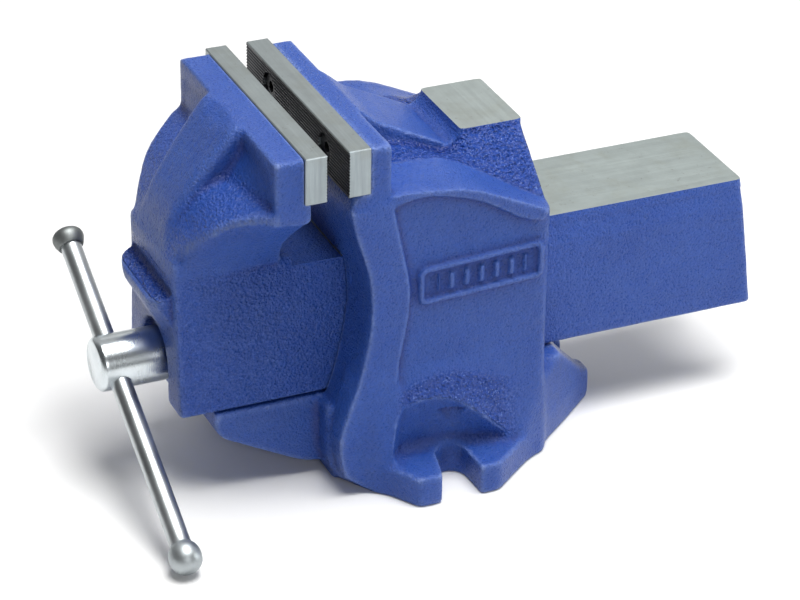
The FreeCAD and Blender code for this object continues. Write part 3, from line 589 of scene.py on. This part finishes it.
def face_info(me):
    n = len(me.polygons)
    c = np.zeros(n * 3, np.float32)
    me.polygons.foreach_get("center", c)
    m = np.zeros(n * 3, np.float32)
    me.polygons.foreach_get("normal", m)
    return c.reshape(-1, 3) / MM, m.reshape(-1, 3)


# ------------------------------------------------------------------ materials
class Nodes:
    def __init__(self, name):
        self.m = bpy.data.materials.new(name)
        self.m.use_nodes = True
        self.t = self.m.node_tree
        self.t.nodes.clear()
        self.out = self.n("ShaderNodeOutputMaterial")
        self.p = self.n("ShaderNodeBsdfPrincipled")
        self.t.links.new(self.p.outputs[0], self.out.inputs[0])
        self.co = self.n("ShaderNodeTexCoord").outputs["Object"]

    def n(self, kind, **props):
        nd = self.t.nodes.new(kind)
        for k, v in props.items():
            setattr(nd, k, v)
        return nd

    def link(self, a, b):
        self.t.links.new(a, b)

    def mapping(self, scale=(1, 1, 1), rot=(0, 0, 0)):
        m = self.n("ShaderNodeMapping")
        m.inputs["Scale"].default_value = scale
        m.inputs["Rotation"].default_value = rot
        self.link(self.co, m.inputs["Vector"])
        return m.outputs[0]

    def noise(self, scale, detail=2.0, rough=0.5, vec=None, dist=0.0):
        m = self.n("ShaderNodeTexNoise")
        m.inputs["Scale"].default_value = scale
        m.inputs["Detail"].default_value = detail
        m.inputs["Roughness"].default_value = rough
        m.inputs["Distortion"].default_value = dist
        self.link(vec if vec is not None else self.co, m.inputs["Vector"])
        return m.outputs["Fac"]

    def voronoi(self, scale, vec=None, feature="F1"):
        m = self.n("ShaderNodeTexVoronoi", feature=feature)
        m.inputs["Scale"].default_value = scale
        self.link(vec if vec is not None else self.co, m.inputs["Vector"])
        return m.outputs["Distance"]

    def ramp(self, fac, stops, interp="LINEAR"):
        r = self.n("ShaderNodeValToRGB")
        r.color_ramp.interpolation = interp
        el = r.color_ramp.elements
        el[0].position, el[0].color = stops[0][0], self.col(stops[0][1])
        el[1].position, el[1].color = stops[-1][0], self.col(stops[-1][1])
        for p, c in stops[1:-1]:
            e = el.new(p)
            e.color = self.col(c)
        self.link(fac, r.inputs[0])
        return r.outputs[0]

    @staticmethod
    def col(c):
        return (c, c, c, 1) if isinstance(c, (int, float)) else (*c, 1)

    def math(self, op, a, b=None, clamp=False):
        m = self.n("ShaderNodeMath", operation=op, use_clamp=clamp)
        for i, v in enumerate((a, b)):
            if v is None:
                continue
            if isinstance(v, (int, float)):
                m.inputs[i].default_value = v
            else:
                self.link(v, m.inputs[i])
        return m.outputs[0]

    def mix(self, fac, a, b, blend="MIX"):
        m = self.n("ShaderNodeMix", data_type="RGBA", blend_type=blend)
        for sock, v in ((m.inputs[0], fac), (m.inputs[6], a), (m.inputs[7], b)):
            if isinstance(v, (int, float)):
                sock.default_value = v
            elif isinstance(v, tuple):
                sock.default_value = (*v, 1)
            else:
                self.link(v, sock)
        return m.outputs[2]

    def maprange(self, v, a, b, c, d):
        m = self.n("ShaderNodeMapRange")
        for i, q in enumerate((a, b, c, d)):
            m.inputs[i + 1].default_value = q
        self.link(v, m.inputs[0])
        return m.outputs[0]

    def attr(self, name):
        a = self.n("ShaderNodeAttribute", attribute_name=name)
        return a.outputs["Fac"]

    def bump(self, height, dist, strength=1.0, prev=None):
        b = self.n("ShaderNodeBump")
        b.inputs["Distance"].default_value = dist
        b.inputs["Strength"].default_value = strength
        self.link(height, b.inputs["Height"])
        if prev is not None:
            self.link(prev, b.inputs["Normal"])
        return b.outputs[0]

    def set(self, **kw):
        for k, v in kw.items():
            s = self.p.inputs[k.replace("_", " ")]
            if hasattr(v, "is_output"):
                self.link(v, s)
            elif isinstance(v, tuple):
                s.default_value = (*v, 1)
            else:
                s.default_value = v


def enamel():
    k = Nodes("blue_enamel_on_casting")
    rough, edge, worn = k.attr("cast_rough"), k.attr("edge"), k.attr("worn")
    streak = k.noise(1.0, 3.0, 0.6, k.mapping((950, 60, 60)))
    big = k.noise(38.0, 3.0, 0.55)
    mid = k.noise(210.0, 3.0, 0.6)
    fine = k.noise(1150.0, 2.5, 0.6)
    grain = k.noise(2600.0, 2.0, 0.6)
    pits = k.ramp(k.noise(900.0, 3.0, 0.75), [(0.30, 1.0), (0.39, 0.0)])
    base = k.mix(k.ramp(big, [(0.3, 0.0), (0.7, 1.0)]), (0.013, 0.056, 0.290), (0.019, 0.071, 0.335))
    base = k.mix(k.math("MULTIPLY", k.ramp(mid, [(0.35, 0.0), (0.75, 1.0)]), 0.45), base, (0.032, 0.082, 0.310))
    # painted highlight: high edges lightened towards a paler blue in place of the light's glints on the glossy paint
    base = k.mix(k.math("MULTIPLY", k.ramp(edge, [(0.25, 0.0), (0.9, 1.0)]), 0.50), base, (0.11, 0.18, 0.45))
    base = k.mix(k.math("MULTIPLY", k.ramp(streak, [(0.42, 0.0), (0.64, 1.0)]), k.math("MULTIPLY", worn, 0.62)), base, (0.13, 0.18, 0.30))
    # painted highlight: paler blue on the sharpest edges, broken up by noise, in place of the light's glints
    rim = k.math("MULTIPLY", k.ramp(edge, [(0.55, 0.0), (1.0, 1.0)]), k.ramp(k.noise(480.0, 3.0, 0.7), [(0.40, 0.15), (0.62, 1.0)]))
    base = k.mix(k.math("MULTIPLY", rim, 0.50), base, (0.28, 0.36, 0.64))
    base = k.mix(k.math("MULTIPLY", rough, 0.60), base, (0.007, 0.036, 0.250))
    # painted glints: light specks on the crests of the as-cast grain in the rough zones
    crest = k.math("MULTIPLY", k.ramp(fine, [(0.61, 0.0), (0.71, 1.0)]), rough)
    base = k.mix(k.math("MULTIPLY", crest, 0.55), base, (0.20, 0.31, 0.62))
    # painted shade: concave creases darkened towards deep blue
    hollow = k.ramp(k.math("MULTIPLY", edge, -1.0), [(0.15, 0.0), (0.8, 1.0)])
    base = k.mix(k.math("MULTIPLY", hollow, 0.50), base, (0.007, 0.020, 0.150))
    # painted shade in the broad hollows and painted highlight on the broad ridges
    cav = k.attr("cavity")
    base = k.mix(k.math("MULTIPLY", k.ramp(cav, [(0.12, 0.0), (0.85, 1.0)]), 0.60), base, (0.008, 0.026, 0.175))
    base = k.mix(k.math("MULTIPLY", k.ramp(k.math("MULTIPLY", cav, -1.0), [(0.15, 0.0), (0.9, 1.0)]), 0.28), base, (0.075, 0.135, 0.40))
    # dark pits in the paint
    base = k.mix(k.math("MULTIPLY", pits, 0.50), base, (0.012, 0.018, 0.10))
    grit = k.ramp(fine, [(0.30, 0.70), (0.50, 1.0), (0.70, 1.30)])
    base = k.mix(0.55, base, k.mix(1.0, base, grit, "MULTIPLY"))
    k.set(Base_Color=base)
    rg = k.math("ADD", k.maprange(fine, 0.2, 0.8, 0.23, 0.38), k.math("MULTIPLY", rough, -0.07))
    k.set(Roughness=rg)
    k.p.inputs["IOR"].default_value = 1.5
    k.p.inputs["Specular IOR Level"].default_value = 0.36
    b = k.bump(mid, 0.0012, 0.40)
    b = k.bump(fine, 0.0009, 0.9, b)
    peb = k.voronoi(900.0, feature="SMOOTH_F1")
    b = k.bump(k.math("MULTIPLY", peb, rough), 0.0016, 1.0, b)
    b = k.bump(k.math("MULTIPLY", streak, worn), 0.0006, 0.8, b)
    b = k.bump(pits, 0.00022, -0.6, b)
    b = k.bump(grain, 0.00009, 0.5, b)
    k.set(Normal=b)
    return k.m


def ground_steel(name, streak_axis, tint=(0.50, 0.535, 0.52), rough=0.40, fine=2600, depth=0.35):
    """surface-ground steel: fine lay along one axis, dull patches and small nicks"""
    k = Nodes(name)
    s = {"X": (30, fine, fine), "Y": (fine, 30, fine), "Z": (fine, fine, 30)}[streak_axis]
    s2 = tuple(v * 0.28 if v > 100 else v * 0.5 for v in s)
    lay = k.noise(1.0, 3.0, 0.6, k.mapping(s))
    lay2 = k.noise(1.0, 2.0, 0.5, k.mapping(s2))
    blot = k.noise(120.0, 3.0, 0.6)
    nick = k.ramp(k.noise(420.0, 2.0, 0.7), [(0.27, 1.0), (0.33, 0.0)])
    dark = tuple(v * 0.70 for v in tint)
    base = k.mix(k.ramp(blot, [(0.35, 0.0), (0.72, 1.0)]), tint, tuple(v * 0.86 for v in tint))
    base = k.mix(k.math("MULTIPLY", k.ramp(lay, [(0.3, 0.0), (0.8, 1.0)]), depth), base, dark)
    stain = k.ramp(k.noise(75.0, 4.0, 0.65), [(0.50, 0.0), (0.72, 1.0)])
    base = k.mix(k.math("MULTIPLY", stain, 0.45), base, tuple(v * w for v, w in zip(tint, (0.74, 0.70, 0.62))))
    base = k.mix(k.math("MULTIPLY", nick, 0.5), base, (0.22, 0.22, 0.21))
    k.set(Base_Color=base, Metallic=1.0)
    r = k.math("ADD", k.maprange(lay2, 0.25, 0.75, rough - 0.07, rough + 0.09), k.math("MULTIPLY", blot, 0.06))
    k.set(Roughness=r)
    b = k.bump(lay, 0.00006, 0.55)
    b = k.bump(lay2, 0.00010, 0.35, b)
    b = k.bump(nick, 0.0002, -0.5, b)
    k.set(Normal=b)
    return k.m


def turned_steel(name, axis="Y", rough=0.16, tint=(0.66, 0.665, 0.655)):
    """bright turned and polished bar with faint tool rings"""
    k = Nodes(name)
    s = {"Y": (3, 3800, 3), "X": (3800, 3, 3)}[axis]
    rings = k.noise(1.0, 2.0, 0.5, k.mapping(s))
    blot = k.noise(160.0, 3.0, 0.6)
    smear = k.noise(55.0, 2.0, 0.5)
    scr = k.ramp(k.noise(700.0, 3.0, 0.8), [(0.30, 1.0), (0.36, 0.0)])
    base = k.mix(k.ramp(blot, [(0.4, 0.0), (0.8, 1.0)]), tint, tuple(v * 0.84 for v in tint))
    base = k.mix(k.math("MULTIPLY", scr, 0.4), base, (0.3, 0.29, 0.28))
    k.set(Base_Color=base, Metallic=1.0)
    k.set(Roughness=k.math("ADD", k.maprange(smear, 0.3, 0.7, rough - 0.04, rough + 0.08), k.math("MULTIPLY", rings, 0.05)))
    b = k.bump(rings, 0.00003, 0.5)
    b = k.bump(blot, 0.00010, 0.10, b)
    k.set(Normal=b)
    return k.m


def dark_steel(name, tint=(0.035, 0.036, 0.040), rough=0.42, metallic=0.9):
    k = Nodes(name)
    a = k.noise(260.0, 4.0, 0.65)
    f = k.noise(1900.0, 2.0, 0.6)
    base = k.mix(k.ramp(a, [(0.35, 0.0), (0.75, 1.0)]), tint, tuple(min(1, v * 2.1) for v in tint))
    k.set(Base_Color=base, Metallic=metallic)
    k.set(Roughness=k.maprange(a, 0.3, 0.7, rough - 0.08, rough + 0.10))
    k.set(Normal=k.bump(f, 0.00012, 0.5, k.bump(a, 0.0004, 0.2)))
    return k.m


def cast_iron():
    k = Nodes("greased_cast_iron")
    a = k.noise(180.0, 4.0, 0.6)
    f = k.noise(900.0, 3.0, 0.6)
    v = k.voronoi(520.0, feature="SMOOTH_F1")
    base = k.mix(k.ramp(a, [(0.3, 0.0), (0.75, 1.0)]), (0.055, 0.052, 0.050), (0.115, 0.105, 0.095))
    k.set(Base_Color=base, Metallic=0.75, Roughness=k.maprange(f, 0.3, 0.7, 0.40, 0.62))
    k.set(Normal=k.bump(f, 0.0003, 0.6, k.bump(v, 0.0008, 0.5)))
    return k.m


M_ENAMEL = enamel()
M_SLIDE = ground_steel("ground_slide_top", "Y", (0.445, 0.50, 0.49), 0.44, 1400)
M_ANVIL = ground_steel("ground_anvil_pad", "X", (0.43, 0.48, 0.47), 0.46, 1400)
M_PLATE = ground_steel("ground_jaw_plate", "X", (0.385, 0.43, 0.435), 0.38, 1200, 0.6)
M_PLATE_END = ground_steel("ground_jaw_plate_end", "Z", (0.37, 0.42, 0.445), 0.36, 620, 1.25)
M_GRIP = dark_steel("grooved_jaw_face", (0.030, 0.031, 0.036), 0.38)
M_BRIGHT = turned_steel("polished_screw", "Y", 0.22, (0.67, 0.72, 0.745))
M_BAR = turned_steel("polished_tommy_bar", "Y", 0.33, (0.53, 0.56, 0.575))
M_BALL = turned_steel("satin_ball", "Y", 0.45, (0.43, 0.465, 0.48))
M_CAP = turned_steel("satin_cap", "Y", 0.50, (0.225, 0.24, 0.24))
M_THREAD = turned_steel("oiled_thread", "Y", 0.26, (0.36, 0.35, 0.33))
M_BLACK = dark_steel("black_oxide")
M_SPRING = dark_steel("oiled_spring_steel", (0.16, 0.165, 0.17), 0.28, 1.0)
M_IRON = cast_iron()
M_BASE = ground_steel("milled_underside", "X", (0.34, 0.34, 0.33), 0.5)


def assign(ob, mats, picker=None):
    ob.data.materials.clear()
    for m in mats:
        ob.data.materials.append(m)
    if picker is not None:
        c, n = face_info(ob.data)
        ob.data.polygons.foreach_set("material_index", picker(c, n).astype(np.int32))
    else:
        ob.data.polygons.foreach_set("material_index", np.zeros(len(ob.data.polygons), np.int32))


def pick_body(c, n):
    k = np.zeros(len(c), int)
    k[(np.abs(c[:, 2] - ANVIL_Z) < 0.02) & (n[:, 2] > 0.98) & (c[:, 1] > 10)] = 1
    k[(c[:, 2] < 0.02) & (n[:, 2] < -0.98)] = 2
    return k


def pick_jaw(c, n):
    k = np.zeros(len(c), int)
    k[(np.abs(c[:, 2] - SL_TOP) < 0.02) & (n[:, 2] > 0.98)] = 1
    return k


assign(body, [M_ENAMEL, M_ANVIL, M_BASE], pick_body)
assign(jaw, [M_ENAMEL, M_SLIDE], pick_jaw)
finish_mesh(body, 42)
finish_mesh(jaw, 42)
for ob, b, node in ((body, "body", "body_casting"), (jaw, "sliding_jaw", "sliding_jaw_casting")):
    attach(ob, b)
    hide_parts(node)


# ------------------------------------------------------------------ lathe work
def lathe(name, prof, seg=72, origin=(0, 0, 0), axis=(0, 1, 0)):
    """prof: list of (distance along axis, radius); ends closed with a centre point"""
    a = Vector(axis).normalized()
    p = a.cross(Vector((0.13, 0.2, 0.97))).normalized()
    q = a.cross(p)
    o = Vector(origin)
    verts, faces = [], []
    for s, r in prof:
        for i in range(seg):
            t = 2 * math.pi * i / seg
            verts.append(o + a * s + (p * math.cos(t) + q * math.sin(t)) * r)
    for j in range(len(prof) - 1):
        for i in range(seg):
            k = (i + 1) % seg
            faces.append((j * seg + i, j * seg + k, (j + 1) * seg + k, (j + 1) * seg + i))
    n = len(verts)
    verts += [o + a * prof[0][0], o + a * prof[-1][0]]
    me = bpy.data.meshes.new(name)
    tri = [(n, (i + 1) % seg, i) for i in range(seg)]
    m = (len(prof) - 1) * seg
    tri += [(n + 1, m + i, m + (i + 1) % seg) for i in range(seg)]
    me.from_pydata([tuple(v * MM) for v in verts], [], faces + tri)
    me.validate()
    bm = bmesh.new()
    bm.from_mesh(me)
    bmesh.ops.recalc_face_normals(bm, faces=bm.faces)
    bm.to_mesh(me)
    bm.free()
    ob = bpy.data.objects.new(name, me)
    scene.collection.objects.link(ob)
    return ob


def arc(cx, cy, r, a0, a1, n):
    return [(cx + r * math.cos(math.radians(a0 + (a1 - a0) * i / n)), cy + r * math.sin(math.radians(a0 + (a1 - a0) * i / n))) for i in range(n + 1)]


t = math.radians(BAR_TILT)
U = Vector((math.cos(t), 0.0, -math.sin(t)))

# tommy bar: plain bar, forged and turned ball with a flat end
BS = BALL_C
prof = [(-CAP_C - 0.6, BAR_R - 0.9), (-CAP_C + 0.0, BAR_R - 0.05)]
prof += [(-53.0 + 3.0 * i, BAR_R) for i in range(0, 44)]
prof += [(BS - 5.2, BAR_R + 0.04), (BS - 4.6, BAR_R + 0.30), (BS - 4.0, BAR_R + 0.78), (BS - 3.3, 5.25), (BS - 2.4, 5.68), (BS - 1.3, 5.98), (BS - 0.1, 6.10),
         (BS + 1.2, 6.08), (BS + 2.4, 5.84), (BS + 3.5, 5.40), (BS + 4.5, 4.75), (BS + 5.3, 3.95), (BS + 5.75, 3.2), (BS + 5.9, 2.6)]
bar = lathe("tommy_bar_turned", prof, 80, (0, Y_BAR, SCREW_Z), U)
cs = -CAP_C
capp = [(cs + 2.7, BAR_R + 0.10), (cs + 2.7, 4.72), (cs + 2.6, 4.85), (cs + 1.7, 5.28), (cs + 0.6, 5.72), (cs - 0.5, 6.02),
        (cs - 1.5, 6.08), (cs - 2.6, 5.8), (cs - 3.4, 5.2), (cs - 4.0, 4.3), (cs - 4.4, 3.2), (cs - 4.62, 1.9), (cs - 4.7, 0.8)]
cap = lathe("tommy_bar_cap_turned", capp, 80, (0, Y_BAR, SCREW_Z), U)
assign(bar, [M_BAR, M_BALL], lambda c, n: (c @ np.array([math.cos(t), 0.0, -math.sin(t)]) + SCREW_Z * math.sin(t) > BS - 5.3).astype(int))
assign(cap, [M_CAP])
finish_mesh(bar, 30)
finish_mesh(cap, 30)
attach(bar, "handle")
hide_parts("handle_bar")
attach(cap, "handle")
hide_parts("handle_end_cap")

# screw head and journal
hp = [(Y_HEAD, 8.6), (Y_HEAD + 0.25, 9.2), (Y_HEAD + 0.9, 9.95), (Y_HEAD + 1.5, 10.38), (Y_HEAD + 1.9, HEAD_R)]
hp += [(Y_HEAD + 3.0 + 1.5 * i, HEAD_R) for i in range(16)]
hp += [(Y_SHOULDER - 0.5, HEAD_R), (Y_SHOULDER, HEAD_R - 0.4), (Y_SHOULDER, SCREW_R), (Y_SHOULDER + 1, SCREW_R), (-46.0, SCREW_R), (-45.0, SCREW_R - 0.8), (-45.0, 6.0)]
head = lathe("main_screw_head", hp, 96, (0, 0, SCREW_Z), (0, 1, 0))
hole = lathe("hole", [(-30, 4.08), (30, 4.08)], 64, (0, Y_BAR, SCREW_Z), U)
boolean(head, [hole])
assign(head, [M_BRIGHT])
finish_mesh(head, 32)


def thread(name, y0, y1, r_out, r_in, pitch, seg=64):
    """single-start square-flanked thread, right hand, as one grid"""
    step = pitch / 20.0
    n = int(round((y1 - y0) / step))
    ys = y0 + np.arange(n + 1) * step
    th = np.arange(seg) * 2 * math.pi / seg
    ph = (ys[:, None] / pitch - th[None, :] / (2 * math.pi)) % 1.0
    # crest, flank, root, flank
    r = np.interp(ph, [0.0, 0.40, 0.52, 0.88, 1.0], [r_out, r_out, r_in, r_in, r_out])
    fade = np.clip((ys[:, None] - y0) / 4.0, 0, 1)
    r = r_in + (r - r_in) * 1.0
    r = np.where(fade < 1, r_in + (r - r_in) * fade + (SCREW_R - 0.05 - r_in) * (1 - fade), r)
    tail = np.clip((y1 - ys[:, None]) / 1.6, 0, 1)
    r = np.minimum(r, 7.6 + (r_out - 7.6) * tail)
    # right hand when seen from the head: the angle runs from +Z towards +X as Y grows
    x = r * np.sin(th)[None, :]
    z = r * np.cos(th)[None, :] + SCREW_Z
    v = np.stack([x, np.broadcast_to(ys[:, None], x.shape), z], -1).reshape(-1, 3)
    i, j = np.meshgrid(np.arange(n), np.arange(seg), indexing="ij")
    a = i * seg + j
    b_ = i * seg + (j + 1) % seg
    q = np.stack([a, b_, b_ + seg, a + seg], -1).reshape(-1, 4)
    ob = new_object(name, v, q)
    bm = bmesh.new()
    bm.from_mesh(ob.data)
    bmesh.ops.holes_fill(bm, edges=[e for e in bm.edges if e.is_boundary], sides=0)
    bmesh.ops.recalc_face_normals(bm, faces=bm.faces)
    bm.to_mesh(ob.data)
    bm.free()
    return ob


thr = thread("main_screw_thread", -46.0, Y_SCREW_END, SCREW_R, 7.3, PITCH)
assign(thr, [M_THREAD])
finish_mesh(thr, 38)
for o in (head, thr):
    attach(o, "screw")
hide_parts("main_screw")
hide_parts("main_screw")


# take-up spring: wire on a helix with closed ends
def spring():
    wire, r, y0, y1, turns = 1.2, 11.3, -77.7, -66.0, 4.5
    n = 220
    pts = []
    for i in range(n + 1):
        s = i / n * turns
        lift = np.interp(s, [0, 0.75, turns - 0.75, turns], [0, 0.25, (y1 - y0 - 2 * wire) - 0.25, (y1 - y0 - 2 * wire)])
        a = s * 2 * math.pi
        pts.append(Vector((r * math.sin(a), y0 + wire + float(lift), SCREW_Z + r * math.cos(a))))
    seg = 14
    verts, faces = [], []
    for i, p in enumerate(pts):
        d = (pts[min(i + 1, n)] - pts[max(i - 1, 0)]).normalized()
        rad = Vector((p.x, 0, p.z - SCREW_Z)).normalized()
        rad = (rad - d * rad.dot(d)).normalized()
        bi = d.cross(rad)
        for k in range(seg):
            t_ = 2 * math.pi * k / seg
            verts.append(p + (rad * math.cos(t_) + bi * math.sin(t_)) * wire)
    for i in range(n):
        for k in range(seg):
            m = (k + 1) % seg
            faces.append((i * seg + k, i * seg + m, (i + 1) * seg + m, (i + 1) * seg + k))
    me = bpy.data.meshes.new("take_up_spring_coil")
    me.from_pydata([tuple(v * MM) for v in verts], [], faces + [tuple(range(seg))[::-1], tuple(n * seg + k for k in range(seg))])
    bm = bmesh.new()
    bm.from_mesh(me)
    bmesh.ops.recalc_face_normals(bm, faces=bm.faces)
    bm.to_mesh(me)
    bm.free()
    ob = bpy.data.objects.new("take_up_spring_coil", me)
    scene.collection.objects.link(ob)
    return ob


spr = spring()
assign(spr, [M_SPRING])
finish_mesh(spr, 50)
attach(spr, "screw")
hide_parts("take_up_spring")


# ------------------------------------------------------------------ jaw plates
def jaw_plate(name, y_grip, y_back, inward):
    """inward: +1 when the gripping face looks towards +Y"""
    z0, z1 = TOP - PLATE_H, TOP
    c = 0.35
    s = inward
    # profile in (depth from gripping face, z), going round
    grip = []
    zz = z1 - 0.9
    pitch, depth = 1.25, 0.55
    while zz - pitch > z0 + 0.6:
        grip += [(0.0, zz), (0.0, zz - 0.42), (depth, zz - 0.42 - 0.30), (depth, zz - 0.42 - 0.42), (0.0, zz - 0.42 - 0.72)]
        zz -= pitch
    prof = [(c, z1), (0.0, z1 - c)] + grip + [(0.0, z0 + c), (c, z0)]
    tt = abs(y_back - y_grip)
    prof += [(tt - c, z0), (tt, z0 + c), (tt, z1 - c), (tt - c, z1)]
    cen = (tt / 2, (z0 + z1) / 2)
    secs = []
    for xx, inset in ((-50.0, c), (-50.0 + c, 0.0), (50.0 - c, 0.0), (50.0, c)):
        ring = []
        for d, zv in prof:
            dd = min(max(d, inset), tt - inset) if inset else d
            zz_ = min(max(zv, z0 + inset), z1 - inset) if inset else zv
            ring.append((xx, y_grip - s * dd, zz_))
        secs.append(ring)
    n = len(prof)
    verts = [v for r in secs for v in r]
    faces = []
    for j in range(3):
        for i in range(n):
            k = (i + 1) % n
            faces.append((j * n + i, j * n + k, (j + 1) * n + k, (j + 1) * n + i))
    faces += [tuple(range(n)), tuple(3 * n + i for i in range(n))[::-1]]
    me = bpy.data.meshes.new(name)
    me.from_pydata([tuple(Vector(v) * MM) for v in verts], [], faces)
    bm = bmesh.new()
    bm.from_mesh(me)
    bmesh.ops.remove_doubles(bm, verts=bm.verts, dist=1e-6)
    bmesh.ops.recalc_face_normals(bm, faces=bm.faces)
    bm.to_mesh(me)
    bm.free()
    ob = bpy.data.objects.new(name, me)
    scene.collection.objects.link(ob)
    cut = []
    for xx in (-PL_SCREW_X, PL_SCREW_X):
        cut.append(lathe("cb", [(-2.0, 5.5), (5.0, 5.5)], 48, (xx, y_grip, PL_SCREW_Z), (0, -s, 0)))
        cut.append(lathe("th", [(-2.0, 3.3), (12.0, 3.3)], 32, (xx, y_grip, PL_SCREW_Z), (0, -s, 0)))
    boolean(ob, cut)
    lo, hi = min(y_grip, y_back), max(y_grip, y_back)

    def pick(c_, n_):
        k = np.zeros(len(c_), int)
        k[np.abs(n_[:, 0]) > 0.6] = 1
        dg = np.abs(c_[:, 1] - y_grip)
        inner = (dg < 5.2) & (c_[:, 2] < z1 - 0.3) & (c_[:, 2] > z0 + 0.3) & (np.abs(n_[:, 0]) < 0.95)
        k[inner & ((dg < 0.7) | (np.hypot(np.abs(c_[:, 0]) - PL_SCREW_X, c_[:, 2] - PL_SCREW_Z) < 5.7))] = 2
        return k

    assign(ob, [M_PLATE, M_PLATE_END, M_GRIP], pick)
    finish_mesh(ob, 25)
    return ob


p1 = jaw_plate("fixed_jaw_plate_ground", Y_FIX, Y_FIX + FIX_T, -1)
p2 = jaw_plate("sliding_jaw_plate_ground", Y_MOV, Y_MOV - MOV_T, 1)
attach(p1, "body")
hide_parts("fixed_jaw_plate")
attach(p2, "sliding_jaw")
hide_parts("sliding_jaw_plate")

# ------------------------------------------------------------------ pieces shown as designed
for node, mat in (("fixed_jaw_plate_screws", M_BLACK), ("sliding_jaw_plate_screws", M_BLACK), ("thrust_washer", M_SPRING),
                  ("spring_seat_washer", M_SPRING), ("retaining_collar", M_THREAD), ("collar_roll_pin", M_SPRING), ("main_nut", M_IRON),
                  ("nut_bolt_washer", M_SPRING), ("nut_bolt", M_BLACK)):
    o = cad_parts[node]
    for i in range(max(1, len(o.data.materials))):
        if i < len(o.data.materials):
            o.data.materials[i] = mat
        else:
            o.data.materials.append(mat)

# ------------------------------------------------------------------ floor, light, camera
bpy.ops.mesh.primitive_plane_add(size=8.0, location=(0, 0, -0.00005))
floor = bpy.context.object
floor.name = "floor"
kf = Nodes("pale_floor")
kf.set(Base_Color=kf.mix(kf.noise(3.0, 2.0, 0.5), (0.80, 0.80, 0.80), (0.84, 0.84, 0.84)), Roughness=0.75)
floor.data.materials.append(kf.m)


def area(name, loc, target, size, power, color=(1, 1, 1), size_y=None):
    d = bpy.data.lights.new(name, "AREA")
    d.energy = power
    d.color = color
    d.size = size
    if size_y:
        d.shape = "RECTANGLE"
        d.size_y = size_y
    o = bpy.data.objects.new(name, d)
    scene.collection.objects.link(o)
    o.location = loc
    o.rotation_euler = (Vector(target) - Vector(loc)).to_track_quat("-Z", "Y").to_euler()
    return o


area("top_softbox", (0.16, 0.08, 1.35), (0.02, 0, 0.05), 0.8, 25.0, (1.0, 0.995, 0.98), 0.7)
area("rear_panel", (-1.15, 0.75, 0.75), (0, 0, 0.08), 1.0, 0.9, (0.98, 0.99, 1.0), 0.7)
area("right_rear_kicker", (0.55, 1.15, 0.40), (0, 0.05, 0.06), 0.45, 4.5, (0.97, 0.99, 1.0), 0.5)
area("camera_side_fill", (1.45, -0.15, 0.65), (0, 0, 0.06), 0.5, 4.0, (1.0, 1.0, 1.0), 0.4)

world = bpy.data.worlds.new("studio")
scene.world = world
world.use_nodes = True
wt = world.node_tree
wt.nodes.clear()
wo = wt.nodes.new("ShaderNodeOutputWorld")
wb = wt.nodes.new("ShaderNodeBackground")
wg = wt.nodes.new("ShaderNodeTexCoord")
# a pale backdrop behind the vise, a dim room elsewhere
dt = wt.nodes.new("ShaderNodeVectorMath")
dt.operation = "DOT_PRODUCT"
wt.links.new(wg.outputs["Generated"], dt.inputs[0])
dt.inputs[1].default_value = (-0.76, 0.42, 0.50)
wr = wt.nodes.new("ShaderNodeValToRGB")
wt.links.new(dt.outputs["Value"], wr.inputs[0])
el = wr.color_ramp.elements
el[0].position, el[0].color = 0.0, (0.16, 0.165, 0.17, 1)
el[1].position, el[1].color = 0.85, (1.0, 1.0, 1.0, 1)
e = el.new(0.35)
e.color = (0.30, 0.305, 0.31, 1)
e = el.new(0.62)
e.color = (0.85, 0.86, 0.87, 1)
wt.links.new(wr.outputs[0], wb.inputs[0])
wb.inputs[1].default_value = 0.52
wt.links.new(wb.outputs[0], wo.inputs[0])

# camera: long lens, from the operator's right, a little rolled
AZ, EL, ROLL = math.radians(66.013), math.radians(29.193), math.radians(0.959)
back = Vector((math.sin(AZ) * math.cos(EL), -math.cos(AZ) * math.cos(EL), math.sin(EL)))
right = Vector((math.cos(AZ), math.sin(AZ), 0.0))
up = back.cross(right)
r2 = right * math.cos(ROLL) + up * math.sin(ROLL)
u2 = up * math.cos(ROLL) - right * math.sin(ROLL)
cd = bpy.data.cameras.new("camera")
cd.sensor_width = 36.0
cd.sensor_fit = "HORIZONTAL"
cd.lens = 149.41
cd.clip_start = 0.05
cd.clip_end = 20.0
cam = bpy.data.objects.new("camera", cd)
scene.collection.objects.link(cam)
m = Matrix.Identity(4)
for i in range(3):
    m[i][0], m[i][1], m[i][2] = r2[i], u2[i], back[i]
    m[i][3] = (1.011068, -0.447064, 0.667993)[i]
cam.matrix_world = m
scene.camera = cam
scene.view_settings.view_transform = "Standard"

bpy.context.view_layer.update()
